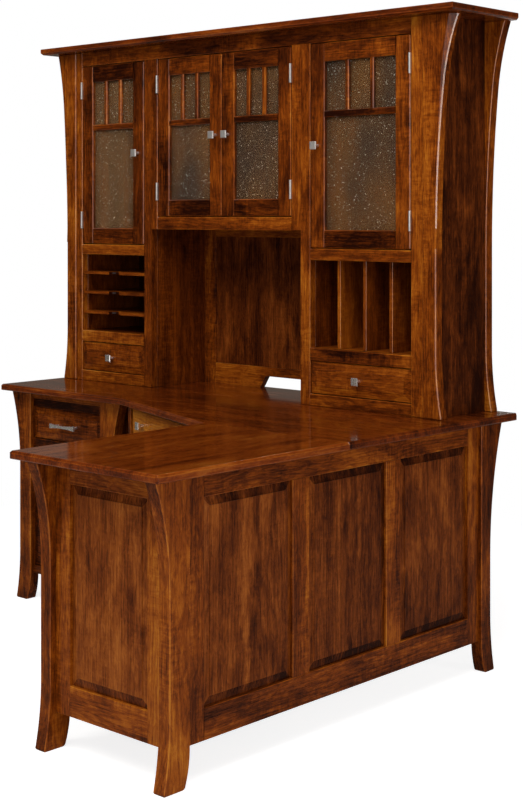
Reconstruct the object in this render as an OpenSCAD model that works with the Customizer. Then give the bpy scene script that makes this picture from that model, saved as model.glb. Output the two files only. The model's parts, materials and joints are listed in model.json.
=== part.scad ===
// Corner desk with hutch, in millimetres, +Z up.
// The origin is on the floor under the middle of the crown, halfway between the desk's
// front and its back.
// The hutch stands along the back (+Y). The return reaches forward (-Y) at the right end (+X).

/* [Desk top] */
// Width of the desk along the wall
desk_w = 1828; // [1700:1:2000]
// Depth of the desk from the back edge to the return's front edge
desk_d = 1524; // [1400:1:1700]
// Height of the desk's top surface
desk_h = 775; // [740:1:800]
// Thickness of the desk top
top_t = 22; // [18:1:30]
// Width of the return top
return_w = 562; // [520:1:620]
// Depth of the main top at its right end, from the back edge to the seam
main_d = 815; // [780:1:850]
// Depth of the main top at its left end
wing_d = 583; // [560:1:620]
// Straight length of the main top's front edge at the left end
wing_front = 646; // [620:1:680]
// Bevel on the upper edge of the desk top
top_bevel = 6; // [2:1:9]
// Bevel on the lower edge of the desk top
under_bevel = 3; // [1:1:6]
// Radius of the desk top's outer corners in plan
corner_r = 7; // [2:1:20]
// How far the hutch's middle stands left of the desk's middle
hutch_shift = 30; // [0:1:32]

/* [Joinery] */
// Hairline left between two boards at a glued joint
glue_line = 0.2; // [0.1:0.05:0.3]

/* [Legs] */
// Thickness of every leg between its flat faces
leg_t = 40; // [34:1:46]
// Slim width of the legs at the return's ends
return_leg_w = 69; // [60:1:76]
// Slim width of the back right leg
back_leg_w = 48; // [42:1:60]
// Slim width of the left pedestal's legs
wing_leg_w = 60; // [52:1:68]
// How far a leg flares out under the top
leg_flare = 46; // [20:1:48]
// Height of the flared stretch under the top
leg_flare_rise = 258; // [180:1:320]
// How far the back right leg flares out under the top
back_flare = 62; // [20:1:80]
// Height of the back right leg's flared stretch
back_flare_rise = 397; // [300:1:450]
// How far a foot sweeps outward
foot_flare = 20; // [5:1:30]
// Height over which a foot sweeps outward
foot_rise = 178; // [120:1:240]
// How far a foot's inner edge sweeps outward
toe_in = 18; // [5:1:25]
// Bevel on the two lower arrises of a foot
foot_bevel = 4; // [1:1:8]
// Room from the desk's right edge to the right legs
right_overhang = 20; // [10:1:40]
// Room from the return's inner edge to the inner legs
inner_overhang = 55; // [40:1:70]
// Room from the desk's front edge to the front legs' slim edge
front_setback = 60; // [50:1:80]
// Room from the desk's back edge to the back right leg's slim edge
back_setback = 116; // [90:1:130]
// Room from the desk's left edge to the left legs' slim edge
left_setback = 52; // [50:1:70]
// Room from the left end's front edge to the front legs
wing_setback = 46; // [30:1:60]
// Room from the desk's back edge to the left pedestal's back legs
wing_back_setback = 57; // [30:1:80]

/* [Panelled frames] */
// Height of the frames' lower edge above the floor
rail_low = 97; // [80:1:120]
// Height of a panelled frame's bottom rail
bottom_rail_h = 80; // [60:1:100]
// Height of a panelled frame's top rail
top_rail_h = 58; // [40:1:80]
// Width of a panelled frame's end stiles
end_stile_w = 58; // [40:1:70]
// Width of the side frame's middle stiles
mid_stile_w = 66; // [40:1:80]
// Number of panels in the right side frame
side_panels = 3; // [1:1:4]
// Thickness of the panelled frames
frame_t = 20; // [18:1:22]
// How far the right legs stand proud of the side frame
side_reveal = 11; // [4:1:16]
// How far the other legs stand proud of their frames
end_reveal = 18; // [10:1:24]
// Depth of the groove that holds a panel
groove_d = 8; // [5:1:12]
// Thickness of a panel's tongue
tongue_t = 6; // [5:1:8]
// Room behind a tongue's edge in its groove
tongue_room = 0.8; // [0.4:0.1:1]
// Width of the bevel round a raised field
field_bevel_w = 24; // [12:1:40]
// Small step between a raised field and its bevel
field_step = 1.5; // [0.5:0.5:2]
// Depth of the bevel round a raised field, step included
field_bevel_d = 6; // [4:1:7]

/* [Pedestals] */
// Width of the drawer openings in both pedestals
file_w = 377; // [340:1:390]
// Height of a small drawer's opening
small_h = 115; // [100:1:117]
// Height of the rails between the drawers
rail_h = 29; // [22:1:29]
// Thickness of the face rails
face_t = 20; // [18:1:24]
// How far the legs stand proud of the drawer faces
face_reveal = 15; // [5:1:20]
// Thickness of the linings that carry the runners
lining_t = 20; // [16:1:22]
// Thickness of the case floors and the back of the left pedestal
case_t = 12; // [9:1:15]
// Height of a case floor above the frames' lower edge
floor_lift = 7; // [2:1:12]
// Thickness of the pull-out writing board
slide_t = 19; // [15:1:20]
// Depth of the writing board
slide_d = 370; // [300:1:380]
// How far the writing board stands out past the drawer faces
slide_proud = 9; // [2:1:14]
// Height of the finger groove under the writing board's front edge
slide_groove = 7; // [4:1:9]
// Room under the writing board
slide_play = 0.4; // [0.3:0.1:0.6]
// Room between the writing board and the desk top
slide_over = 5.6; // [3:0.1:9]
// Thickness of the desk's back panel
back_t = 18; // [12:1:20]
// Height of the back panel's lower edge
back_low = 216; // [120:1:400]
// How far the back panel stands in front of the back right leg's slim edge
back_inset = 8; // [4:1:20]

/* [Drawers] */
// Gap round every drawer front
drawer_gap = 2.5; // [2:0.5:3.5]
// Thickness of the drawer fronts
front_t = 20; // [18:1:22]
// Thickness of the drawer boxes' sides and backs
box_t = 14; // [12:1:16]
// Thickness of the drawer bottoms
bottom_t = 6; // [4:1:9]
// How much lower a drawer box is than its opening
box_short = 30; // [24:1:34]
// Height of a drawer box above the lower edge of its opening
box_lift = 8; // [6:1:10]
// How far a bottom lies above the lower edge of its box
bottom_lift = 8; // [4:1:12]
// Height of the wooden runners
runner_h = 15; // [12:1:20]
// How far a runner reaches into the groove of a drawer side
runner_bite = 6.5; // [5:0.5:7]
// Play of a runner in its groove, on each side
runner_play = 0.3; // [0.3:0.1:0.6]
// Depth of the pedestals' drawer boxes
pedestal_box_d = 360; // [300:1:370]
// Depth of the corner drawer's box
corner_box_d = 330; // [250:1:350]
// Depth of the hutch drawers' boxes
hutch_box_d = 225; // [180:1:235]

/* [Corner drawer] */
// Distance of the corner drawer's face behind the diagonal edge
corner_inset = 25; // [15:1:40]
// Distance from the ends of the diagonal to the corner drawer's frame
corner_end = 10; // [6:1:20]
// Width of the corner drawer's stiles
corner_stile_w = 24; // [20:1:30]
// Height of the rail above the corner drawer
corner_rail_h = 9.5; // [6:0.5:14]
// Height of the corner drawer's opening
corner_h = 86; // [80:1:110]
// Depth of the side boards that carry the corner drawer
corner_side_d = 400; // [380:1:420]
// Thickness of the side boards that carry the corner drawer
corner_side_t = 20; // [16:1:24]
// Distance of the corner drawer's knobs from the ends of its front
corner_knob_in = 112; // [80:1:160]

/* [Hutch posts and sides] */
// Overall height of the desk with the hutch
total_h = 2010; // [1900:1:2100]
// Width of the hutch over the slim stretch of its posts
hutch_w = 1702; // [1650:1:1720]
// Distance from the posts' front faces to the back of the hutch
hutch_d = 299; // [290:1:330]
// Slim width of a hutch post
post_w = 50; // [44:1:58]
// Thickness of a hutch post from front to back
post_t = 35; // [30:1:40]
// How far the front posts stand proud of the face frame
post_proud = 7; // [2:1:10]
// How far a post's foot sweeps outward
post_foot = 20; // [5:1:24]
// Height over which a post's foot sweeps outward
post_foot_rise = 195; // [120:1:260]
// Radius of the long gentle sweep in the middle of a post
gentle_r = 5156; // [4500:1:7000]
// Height of the gentle sweep
gentle_rise = 493; // [350:1:520]
// Radius of the quick sweep under the crown
quick_r = 900; // [800:1:1200]
// Height of the quick sweep
quick_rise = 210; // [120:1:215]
// Share of a front post's flare that the bevel on its front arris takes
post_bevel_share = 0.28; // [0.1:0.02:0.4]
// Thickness of the hutch's side slabs
side_t = 20; // [16:1:22]
// How far the posts stand proud of the side slabs
slab_reveal = 5; // [2:1:10]
// Thickness of the crown
crown_t = 22; // [18:1:30]
// Overhang of the crown past the front posts
crown_front = 49; // [30:1:70]
// Overhang of the crown past the slim stretch of the posts
crown_side = 96.5; // [85:0.5:110]
// Bevel on the crown's lower edge
crown_bevel = 7; // [3:1:10]

/* [Hutch face frame] */
// Width of the left outer stile
left_stile_w = 29; // [24:1:60]
// Width of the left tower's opening
left_open_w = 337; // [300:1:360]
// Width of the left tower's inner stile
left_inner_w = 39; // [34:1:50]
// Width of the stile left of the middle doors
mid_left_w = 30; // [24:1:40]
// Width of the stile right of the middle doors
mid_right_w = 40; // [24:1:44]
// Width of the right tower's inner stile
right_inner_w = 40; // [34:1:50]
// Width of the right tower's opening
right_open_w = 404.5; // [360:0.5:420]
// Width of the right outer stile
right_stile_w = 48; // [24:1:60]
// Height of the hutch's base rails
base_rail_h = 38; // [24:1:45]
// Height of the hutch drawers' openings
hutch_drawer_h = 107; // [95:1:115]
// Height of the rail above the hutch drawers
drawer_rail_h = 40; // [24:1:50]
// Height of the pigeonhole and slot openings
cubby_h = 282; // [250:1:290]
// Height of the rail under the tower doors
tower_rail_h = 37; // [24:1:45]
// Height of the valance's lower edge above the desk top
bay_h = 561; // [500:1:580]
// Height of the valance over the bay
valance_h = 44; // [30:1:50]
// Height of the rail above the doors
head_rail_h = 50; // [40:1:60]
// Thickness of the hutch's partitions
partition_t = 20; // [16:1:22]
// Thickness of the outer liners beside the drawers and pigeonholes
liner_t = 20; // [16:1:22]
// Thickness of the hutch's decks
deck_t = 16; // [12:1:18]
// Thickness of the plywood backing
backing_t = 6; // [4:1:9]
// Thickness of the framed back of the bay
bay_frame_t = 18; // [15:1:22]
// How far the bay's back panel lies behind its frame
bay_panel_in = 6; // [2:1:10]
// Width of the stiles on the bay's back
bay_stile_w = 56; // [40:1:70]
// Height of the lower rail on the bay's back
bay_rail_h = 73; // [60:1:90]
// Height of the cable notch
notch_h = 41; // [25:1:50]
// Width of the cable notch at its lower edge
notch_w = 236; // [180:1:260]
// Width of the cable notch at its upper edge
notch_top_w = 184; // [100:1:205]
// Radius of the cable notch's upper corners
notch_r = 10; // [4:1:14]
// How far the cable notch's middle lies right of the crown's middle
notch_x = 0; // [-40:1:40]
// Number of pigeonhole shelves
shelf_n = 3; // [1:1:5]
// Thickness of the pigeonhole shelves
shelf_t = 10; // [8:1:13]
// How far the shelves lie behind the face frame's front
shelf_in = 8; // [4:1:20]
// Radius of the finger scoops in the shelves
scoop_r = 28; // [18:1:40]
// Number of upright slot dividers
divider_n = 3; // [1:1:5]
// Thickness of the slot dividers
divider_t = 13; // [9:1:16]

/* [Doors] */
// Gap between a door and its opening
door_gap = 3; // [2.8:0.1:4]
// Thickness of the doors
door_t = 20; // [18:1:22]
// Width of the doors' stiles
door_stile_w = 57; // [45:1:65]
// Height of the doors' bottom rails
door_low_rail_h = 57; // [45:1:70]
// Height of the doors' top rails
door_top_rail_h = 59; // [45:1:70]
// Height of the small upper lites
lite_h = 157; // [120:1:200]
// Height of the bar under the small lites
bar_h = 21; // [14:1:28]
// Width of the muntins between the small lites
muntin_w = 15; // [10:1:20]
// Number of muntins in a door
muntin_n = 2; // [1:1:3]
// Thickness of the bar and muntins, which lie in front of the glass
bar_t = 12; // [9:1:13]
// Depth of the rabbet that holds the glass, across the stile
rabbet_w = 8; // [5:1:12]
// Thickness of the glass
glass_t = 4; // [3:1:5]
// Room round the glass in its rabbet
glass_room = 0.5; // [0.3:0.1:0.8]

/* [Hinges and handles] */
// Radius of a hinge barrel
barrel_r = 3.8; // [3:0.1:4.5]
// Length of a hinge barrel
barrel_l = 62; // [45:1:75]
// Room between a hinge barrel and the face frame
barrel_off = 0.4; // [0.3:0.1:0.8]
// Radius of a hinge pin
pin_r = 1.8; // [1.2:0.1:2.2]
// Play of a hinge pin in the moving knuckle
pin_play = 0.05; // [0.02:0.01:0.1]
// Room between two knuckles
knuckle_gap = 0.4; // [0.3:0.1:0.8]
// Thickness of the hinge leaves
leaf_t = 1.1; // [0.8:0.1:1.2]
// Depth of the hinge leaves
leaf_d = 17; // [12:1:18]
// Distance from a door's end to the middle of its hinge
hinge_in = 87; // [60:1:120]
// Width of a knob's face
knob_w = 26; // [20:1:32]
// Width of a knob at its neck side
knob_back_w = 15; // [10:1:18]
// Thickness of a knob's head
knob_head = 11; // [7:1:14]
// Bevel round a knob's face
knob_bevel = 2; // [1:0.5:4]
// Thickness of the part of a knob's head that flares out
knob_flare = 8; // [4:0.5:9]
// Radius of a knob's neck
knob_neck_r = 5; // [3:0.5:7]
// Distance that a knob stands off its front
knob_out = 26; // [20:1:34]
// Length of a bow-tie pull
pull_l = 130; // [100:1:160]
// Width of a bow-tie pull at its ends
pull_end_w = 18; // [12:1:24]
// Width of a bow-tie pull at its middle
pull_mid_w = 9; // [6:1:12]
// Thickness of a bow-tie pull's bar
pull_t = 6; // [4:1:9]
// Distance that a bow-tie pull stands off its front
pull_out = 28; // [22:1:34]
// Distance between the posts of a bow-tie pull
pull_post_span = 96; // [64:1:110]
// Radius of a bow-tie pull's posts
pull_post_r = 4.5; // [3:0.5:6]

/* [Hidden] */

// Facets of the round pieces
fine = 48;
// Steps in a swept outline
sweep_n = 8;
// Reach of a cut past the face that it starts from
past = 1;

// The desk's outline
right = desk_w / 2 + hutch_shift;
left = right - desk_w;
back = desk_d / 2;
front = -desk_d / 2;
under = desk_h - top_t;
seam = back - main_d;
return_x = right - return_w;
wing_y = back - wing_d;
wing_x = left + wing_front;
diag_l = norm([return_x - wing_x, seam - wing_y]);
diag_turn = atan2(seam - wing_y, return_x - wing_x);

// The legs
right_leg_x = right - right_overhang - leg_t;
inner_leg_x = return_x + inner_overhang;
front_leg_y = front + front_setback + return_leg_w;
rear_leg_y = front_leg_y + file_w;
back_leg_y = back - back_setback - back_leg_w;
wing_open_x = left + left_setback + wing_leg_w;
wing_end_x = wing_open_x + file_w;
wing_leg_y = wing_y + wing_setback;
wing_back_y = back - wing_back_setback - leg_t;

// The panelled frames: their outer faces
side_face_x = right_leg_x + leg_t - side_reveal;
end_face_y = front + front_setback + end_reveal;
wing_face_x = left + left_setback + end_reveal;
knee_face_x = wing_end_x + wing_leg_w - end_reveal;

// The drawer faces
wing_face_y = wing_leg_y + face_reveal;
return_face_x = inner_leg_x + face_reveal;
file_z = rail_low + rail_h;
slide_z = under - slide_over - slide_t - slide_play;
top_z = slide_z - rail_h - small_h;
middle_z = top_z - rail_h - small_h;
// The file drawers take the height that the rest leaves
file_h = middle_z - rail_h - file_z;
upper_file_z = middle_z;
upper_file_h = under - rail_h - upper_file_z;
corner_z = under - corner_rail_h - corner_h;
corner_w = diag_l - 2 * (corner_end + corner_stile_w);
back_panel_y = back - back_setback - back_inset - back_t;

// The hutch
crown_z = total_h - crown_t;
post_front_y = back - hutch_d;
hutch_face_y = post_front_y + post_proud;
hutch_in_y = post_front_y + post_t;
backing_y = back - backing_t;
post_x = hutch_w / 2 - post_w;
slab_x = hutch_w / 2 - slab_reveal - side_t;
x1 = -post_x + left_stile_w;
x2 = x1 + left_open_w;
x3 = x2 + left_inner_w;
x4 = x3 + mid_left_w;
x8 = post_x - right_stile_w;
x7 = x8 - right_open_w;
x6 = x7 - right_inner_w;
x5 = x6 - mid_right_w;
drawer_z = desk_h + base_rail_h;
drawer_rail_z = drawer_z + hutch_drawer_h;
cubby_z = drawer_rail_z + drawer_rail_h;
tower_rail_z = cubby_z + cubby_h;
tower_z = tower_rail_z + tower_rail_h;
valance_z = desk_h + bay_h;
middle_door_z = valance_z + valance_h;
head_z = crown_z - head_rail_h;
middle_x = (x4 + x5) / 2;
bay_frame_y = backing_y - bay_frame_t;
axis_y = -(barrel_r + barrel_off);

// The span of a board fitted between two others
function between(a, b) = [a + glue_line, b - glue_line];

// A board between two values on each axis
module board(x, y, z)
    translate([x[0], y[0], z[0]])
        cube([x[1] - x[0], y[1] - y[0], z[1] - z[0]]);

// Points of an arc that leaves the vertical: [how far out, how far along]
function sweep(rise, out, stop) =
    let (r = (rise * rise + out * out) / (2 * out))
    [for (i = [0:sweep_n]) let (d = stop * i / sweep_n) [r - sqrt(r * r - d * d), d]];

// Outline of a leg, inner edge at 0, outward positive, foot on the floor
function leg_outline(w, flare, rise) = concat(
    [[foot_bevel + toe_in, 0], [w + foot_flare - foot_bevel, 0]],
    [for (i = [sweep_n:-1:0]) let (p = sweep(foot_rise, foot_flare, foot_rise - foot_bevel)[i])
        [w + p[0], foot_rise - p[1]]],
    [for (p = sweep(rise, flare, rise)) [w + p[0], under - rise + p[1]]],
    [[0, under]],
    [for (p = sweep(rail_low, toe_in, rail_low - foot_bevel)) [p[0], rail_low - p[1]]]
);

// A leg whose inner edge stands at a place, flaring towards a turn
module leg(place, turn, w, flare, rise)
    translate([place[0], place[1], 0])
        rotate([0, 0, turn])
            translate([0, leg_t / 2, 0])
                rotate([90, 0, 0])
                    linear_extrude(leg_t)
                        polygon(leg_outline(w, flare, rise));

// A board with a raised field: front face at y = 0, lower left corner at the origin
module fielded(w, h, t, margin) {
    bevel_end = margin + field_bevel_w;
    intersection() {
        linear_extrude(h)
            field_section(w, t, margin, bevel_end);
        rotate([0, -90, 0])
            mirror([0, 0, 1])
                linear_extrude(w)
                    field_section(h, t, margin, bevel_end);
    }
}

module field_section(w, t, margin, bevel_end)
    polygon([
        [0, t], [0, field_bevel_d], [margin, field_bevel_d], [bevel_end, field_step], [bevel_end, 0],
        [w - bevel_end, 0], [w - bevel_end, field_step], [w - margin, field_bevel_d],
        [w, field_bevel_d], [w, t],
    ]);

// A bevel cut along the edge from p to q at height z, with the wood on the left of that line:
// below the edge for turn 0, above it for turn 1
module edge_bevel(p, q, z, size, turn, more_p = past, more_q = past) {
    run = norm(q - p);
    half = size / sqrt(2);
    translate([p[0], p[1], z])
        rotate([0, 0, atan2(q[1] - p[1], q[0] - p[0])])
            translate([-more_p, 0, 0])
                mirror([0, 0, turn])
                    rotate([45, 0, 0])
                        translate([0, -half - past, -half])
                            cube([run + more_p + more_q, 2 * half + 2 * past, 2 * half + past]);
}

module both_bevels(p, q, more_p = past, more_q = past) {
    edge_bevel(p, q, desk_h, top_bevel, 0, more_p, more_q);
    edge_bevel(p, q, under, under_bevel, 1, more_p, more_q);
}

// Points of a rounded corner whose arc starts at an angle
function corner(x, y, start) = [for (i = [0:4])
    let (a = start + 90 * i / 4) [x + corner_r * cos(a), y + corner_r * sin(a)]];

// Places a drawer's own frame: x across the opening, y inward from the face, z up
module at_wing(z)
    translate([wing_open_x, wing_face_y, z])
        children();

module at_return(z)
    translate([return_face_x, rear_leg_y, z])
        rotate([0, 0, -90])
            children();

module at_corner(x = 0, z = 0)
    translate([wing_x, wing_y, z])
        rotate([0, 0, diag_turn])
            translate([x, corner_inset, 0])
                children();

module at_hutch(x, z = 0)
    translate([x, hutch_face_y, z])
        children();

// Height of a runner's middle above its opening's lower edge
function runner_mid(h) = box_lift + (h - box_short) / 2;

// A drawer for an opening of w by h, with a box of depth d
module drawer(w, h, d) {
    low = box_lift;
    high = box_lift + h - box_short;
    wide = w - drawer_gap;
    slot = runner_h / 2 + runner_play;
    ends = front_t + d;
    translate([drawer_gap, 0, drawer_gap])
        fielded(w - 2 * drawer_gap, h - 2 * drawer_gap, front_t, 0);
    for (side = [0, 1])
        translate([side * w, 0, 0])
            mirror([side, 0, 0])
                difference() {
                    board([drawer_gap, drawer_gap + box_t], [front_t + glue_line, ends], [low, high]);
                    board([drawer_gap - past, drawer_gap + runner_bite + runner_play],
                        [front_t, ends + past], [runner_mid(h) - slot, runner_mid(h) + slot]);
                }
    board(between(drawer_gap + box_t, wide - box_t), [ends - box_t, ends], [low, high]);
    board(between(drawer_gap + box_t, wide - box_t), between(front_t, ends - box_t),
        [low + bottom_lift, low + bottom_lift + bottom_t]);
}

// The pair of runners that carries a drawer, on the sides of an opening w wide
module runners(w, h, reach)
    for (side = [0, 1])
        translate([side * w, 0, 0])
            mirror([side, 0, 0])
                board([0, drawer_gap + runner_bite], [front_t + drawer_gap, reach],
                    [runner_mid(h) - runner_h / 2, runner_mid(h) + runner_h / 2]);

// A square flared knob standing off a front at y = 0, centred on the origin
module knob() {
    rotate([90, 0, 0])
        cylinder(h = knob_out - knob_head, r = knob_neck_r, $fn = fine);
    intersection() {
        knob_section();
        rotate([0, 90, 0])
            knob_section();
    }
}

module knob_section() {
    head_y = knob_head - knob_out;
    face_w = knob_w - 2 * knob_bevel;
    translate([0, 0, -knob_w / 2])
        linear_extrude(knob_w)
            polygon([
                [-knob_back_w / 2, head_y], [-knob_w / 2, head_y - knob_flare],
                [-face_w / 2, -knob_out], [face_w / 2, -knob_out],
                [knob_w / 2, head_y - knob_flare], [knob_back_w / 2, head_y],
            ]);
}

// A bow-tie pull standing off a front at y = 0, centred on the origin
module pull() {
    for (side = [-1, 1])
        translate([side * pull_post_span / 2, 0, 0])
            rotate([90, 0, 0])
                cylinder(h = pull_out - pull_t, r = pull_post_r, $fn = fine);
    translate([0, pull_t - pull_out, 0])
        rotate([90, 0, 0])
            linear_extrude(pull_t)
                polygon(concat(
                    [for (i = [-sweep_n:sweep_n]) [i / sweep_n * pull_l / 2, -pull_half(i)]],
                    [for (i = [sweep_n:-1:-sweep_n]) [i / sweep_n * pull_l / 2, pull_half(i)]]
                ));
}

// Half width of a bow-tie pull at a step from its middle
function pull_half(i) = pull_mid_w / 2 + (pull_end_w - pull_mid_w) / 2 * pow(i / sweep_n, 2);

// A row of openings in a frame, from a to b, parted by stiles of a width
function bays(a, b, n, stile) =
    let (w = (b - a - (n - 1) * stile) / n)
    [for (i = [0:n - 1]) [a + i * (w + stile), a + i * (w + stile) + w]];

// A panelled frame in its own plane: x along it from 0 to run, y inward from its outer face.
// The end stiles run through, and every board is grooved for the panels' tongues.
module panel_frame(run, openings) {
    high = under - top_rail_h;
    low = rail_low + bottom_rail_h;
    last = len(openings) - 1;
    ends = [openings[0][0], openings[last][1]];
    difference() {
        union() {
            board([0, ends[0]], [0, frame_t], [rail_low, under]);
            board([ends[1], run], [0, frame_t], [rail_low, under]);
            board(between(ends[0], ends[1]), [0, frame_t], [rail_low, low]);
            board(between(ends[0], ends[1]), [0, frame_t], [high, under]);
            for (i = [1:1:last])
                board([openings[i - 1][1], openings[i][0]], [0, frame_t], between(low, high));
        }
        panel_grooves(openings, low, high, frame_t / 2);
    }
}

module panel_grooves(openings, low, high, tongue_y)
    for (o = openings)
        board([o[0] - groove_d, o[1] + groove_d], [tongue_y, tongue_y + tongue_t],
            [low - groove_d, high + groove_d]);

// The panels of such a frame
module frame_panels(openings) {
    reach = groove_d - tongue_room;
    low = rail_low + bottom_rail_h - reach;
    high = under - top_rail_h + reach;
    for (o = openings)
        translate([o[0] - reach, frame_t / 2 - field_bevel_d, low])
            fielded(o[1] - o[0] + 2 * reach, high - low, field_bevel_d + tongue_t, reach);
}

// Each frame's own place
module at_side()
    translate([side_face_x, front_leg_y, 0])
        rotate([0, 0, 90])
            children();

module at_end()
    translate([inner_leg_x + leg_t, end_face_y, 0])
        children();

module at_wing_side()
    translate([wing_face_x, wing_back_y, 0])
        rotate([0, 0, -90])
            children();

side_run = back_leg_y - front_leg_y;
end_run = right_leg_x - inner_leg_x - leg_t;
wing_run = wing_back_y - wing_leg_y - leg_t;
side_openings = bays(end_stile_w, side_run - end_stile_w, side_panels, mid_stile_w);
end_openings = bays(end_stile_w, end_run - end_stile_w, 1, 0);
wing_openings = bays(end_stile_w, wing_run - end_stile_w, 1, 0);

// A slab of the desk top's thickness over an outline
module top_slab(outline)
    translate([0, 0, under])
        linear_extrude(top_t)
            polygon(outline);

// A slab whose edge from p to q is bevelled above and below; the outline goes on
// through the other points, with the wood on the left
module bevelled_slab(p, q, others) {
    inward = [p[1] - q[1], q[0] - p[0]] / norm(q - p);
    hull()
        for (s = [[0, under + under_bevel, desk_h - top_bevel],
            [under_bevel, under, desk_h - top_bevel], [top_bevel, under + under_bevel, desk_h]])
            translate([0, 0, s[1]])
                linear_extrude(s[2] - s[1])
                    polygon(concat([p + s[0] * inward, q + s[0] * inward], others));
}

// The main top: an L without its return, cut off by a diagonal at the inner corner.
// Its straight part, the part behind the diagonal and the strip at the seam are bevelled apart,
// so that their bevels meet in mitres.
module main_top() color("#6b2d16") {
    a = [return_x, seam];
    b = [wing_x, wing_y];
    reach = (b - a) / 4;
    deep = (wing_y + back) / 2;
    difference() {
        union() {
            difference() {
                top_slab(concat(
                    [[right, wing_y]],
                    corner(right - corner_r, back - corner_r, 0),
                    corner(left + corner_r, back - corner_r, 90),
                    corner(left + corner_r, wing_y + corner_r, 180)
                ));
                both_bevels([left, wing_y], [right, wing_y]);
            }
            difference() {
                bevelled_slab(b + reach, a - reach,
                    [[right, seam - reach[1]], [right, deep], [b[0] + reach[0], deep]]);
                board([left, right + past], [front, seam], [under - past, desk_h + past]);
            }
            bevelled_slab([return_x, wing_y], a, [[right, seam], [right, wing_y]]);
        }
        both_bevels([right, seam], [right, back]);
        both_bevels([left, back], [left, wing_y]);
    }
}

module return_top() color("#6b2d16")
    difference() {
        top_slab(concat(
            [[right, seam], [return_x, seam]],
            corner(return_x + corner_r, front + corner_r, 180),
            corner(right - corner_r, front + corner_r, 270)
        ));
        both_bevels([right, front], [right, seam]);
        both_bevels([return_x, front], [right, front]);
        both_bevels([return_x, seam], [return_x, front]);
    }

module return_legs() color("#7c3a1c") {
    for (x = [right_leg_x, inner_leg_x])
        leg([x + leg_t / 2, front_leg_y], 270, return_leg_w, leg_flare, leg_flare_rise);
    leg([inner_leg_x + leg_t / 2, rear_leg_y], 90, return_leg_w, leg_flare, leg_flare_rise);
}

module back_right_leg() color("#7c3a1c")
    leg([right_leg_x + leg_t / 2, back_leg_y], 90, back_leg_w, back_flare, back_flare_rise);

module wing_legs() color("#7c3a1c")
    for (y = [wing_leg_y + leg_t / 2, wing_back_y + leg_t / 2]) {
        leg([wing_open_x, y], 180, wing_leg_w, leg_flare, leg_flare_rise);
        leg([wing_end_x, y], 0, wing_leg_w, leg_flare, leg_flare_rise);
    }

module side_frame() color("#8a4420")
    at_side()
        panel_frame(side_run, side_openings);

module end_frame() color("#8a4420")
    at_end()
        panel_frame(end_run, end_openings);

module wing_side_frame() color("#8a4420")
    at_wing_side()
        panel_frame(wing_run, wing_openings);

module raised_panels() color("#75331a") {
    at_side()
        frame_panels(side_openings);
    at_end()
        frame_panels(end_openings);
    at_wing_side()
        frame_panels(wing_openings);
}

// The rails round the return's two file drawers
module return_face_rails() color("#8a4420")
    for (z = [rail_low, file_z + file_h, upper_file_z + upper_file_h])
        at_return(z)
            board([0, file_w], [0, face_t], [0, rail_h]);

// Linings level with the drawer openings, the panel towards the corner and the floor
module return_case() color("#7a3b1e") {
    x = [inner_leg_x + leg_t, side_face_x - frame_t];
    panel_y = rear_leg_y + return_leg_w - end_reveal;
    board([x[0], right_leg_x], [front_leg_y - lining_t, front_leg_y], [rail_low, under]);
    board(x, [rear_leg_y, rear_leg_y + lining_t], [rail_low, under]);
    board(x, [panel_y - frame_t, panel_y], [rail_low, under]);
    board([return_face_x + face_t, x[1]], between(front_leg_y, rear_leg_y),
        [rail_low + floor_lift, rail_low + floor_lift + case_t]);
}

module wing_face_rails() color("#8a4420")
    for (z = [rail_low, file_z + file_h, middle_z + small_h, top_z + small_h])
        at_wing(z)
            board([0, file_w], [0, face_t], [0, rail_h]);

module wing_case() color("#7a3b1e") {
    x = between(wing_open_x, wing_end_x);
    y = [wing_leg_y + leg_t, wing_back_y];
    board([wing_open_x - lining_t, wing_open_x], y, [rail_low, under]);
    board([wing_end_x, wing_end_x + lining_t], y, [rail_low, under]);
    board([knee_face_x - frame_t, knee_face_x], y, [rail_low, under]);
    board(x, [wing_back_y - case_t, wing_back_y], [rail_low, under]);
    board(x, [wing_face_y + face_t, wing_back_y - case_t - glue_line],
        [rail_low + floor_lift, rail_low + floor_lift + case_t]);
}

// Stiles, head rail, side boards and back rail that hang the corner drawer from the top
module corner_frame() color("#8a4420")
    at_corner() {
        low = corner_z - drawer_gap;
        span = [corner_end + corner_stile_w, diag_l - corner_end - corner_stile_w];
        deep = face_t + corner_side_d;
        for (side = [0, 1])
            translate([side * diag_l, 0, 0])
                mirror([side, 0, 0]) {
                    board([corner_end, span[0]], [0, face_t], [low, under]);
                    board([span[0] - corner_side_t, span[0]], [face_t + glue_line, deep], [low, under]);
                }
        board(between(span[0], span[1]), [0, face_t], [under - corner_rail_h, under]);
        board(between(span[0], span[1]), [deep - corner_side_t, deep], [low, under]);
    }

module desk_back_panel() color("#6e3318")
    board([knee_face_x, right_leg_x], [back_panel_y, back_panel_y + back_t], [back_low, under]);

module drawer_runners() color("#c79a63") {
    wing_reach = wing_back_y - case_t - wing_face_y;
    return_reach = side_face_x - frame_t - return_face_x;
    at_wing(file_z)
        runners(file_w, file_h, wing_reach);
    at_wing(middle_z)
        runners(file_w, small_h, wing_reach);
    at_wing(top_z)
        runners(file_w, small_h, wing_reach);
    at_return(file_z)
        runners(file_w, file_h, return_reach);
    at_return(upper_file_z)
        runners(file_w, upper_file_h, return_reach);
    at_corner(corner_end + corner_stile_w, corner_z)
        runners(corner_w, corner_h, face_t + corner_side_d - corner_side_t);
    at_hutch(x1, drawer_z)
        runners(left_open_w, hutch_drawer_h, backing_y - hutch_face_y);
    at_hutch(x7, drawer_z)
        runners(right_open_w, hutch_drawer_h, backing_y - hutch_face_y);
    // Ledges that carry the writing board behind its rail
    for (side = [0, 1])
        at_wing(slide_z)
            translate([side * file_w, 0, 0])
                mirror([side, 0, 0])
                    board([0, runner_h], [face_t, wing_reach], [-runner_h, 0]);
}

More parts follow.
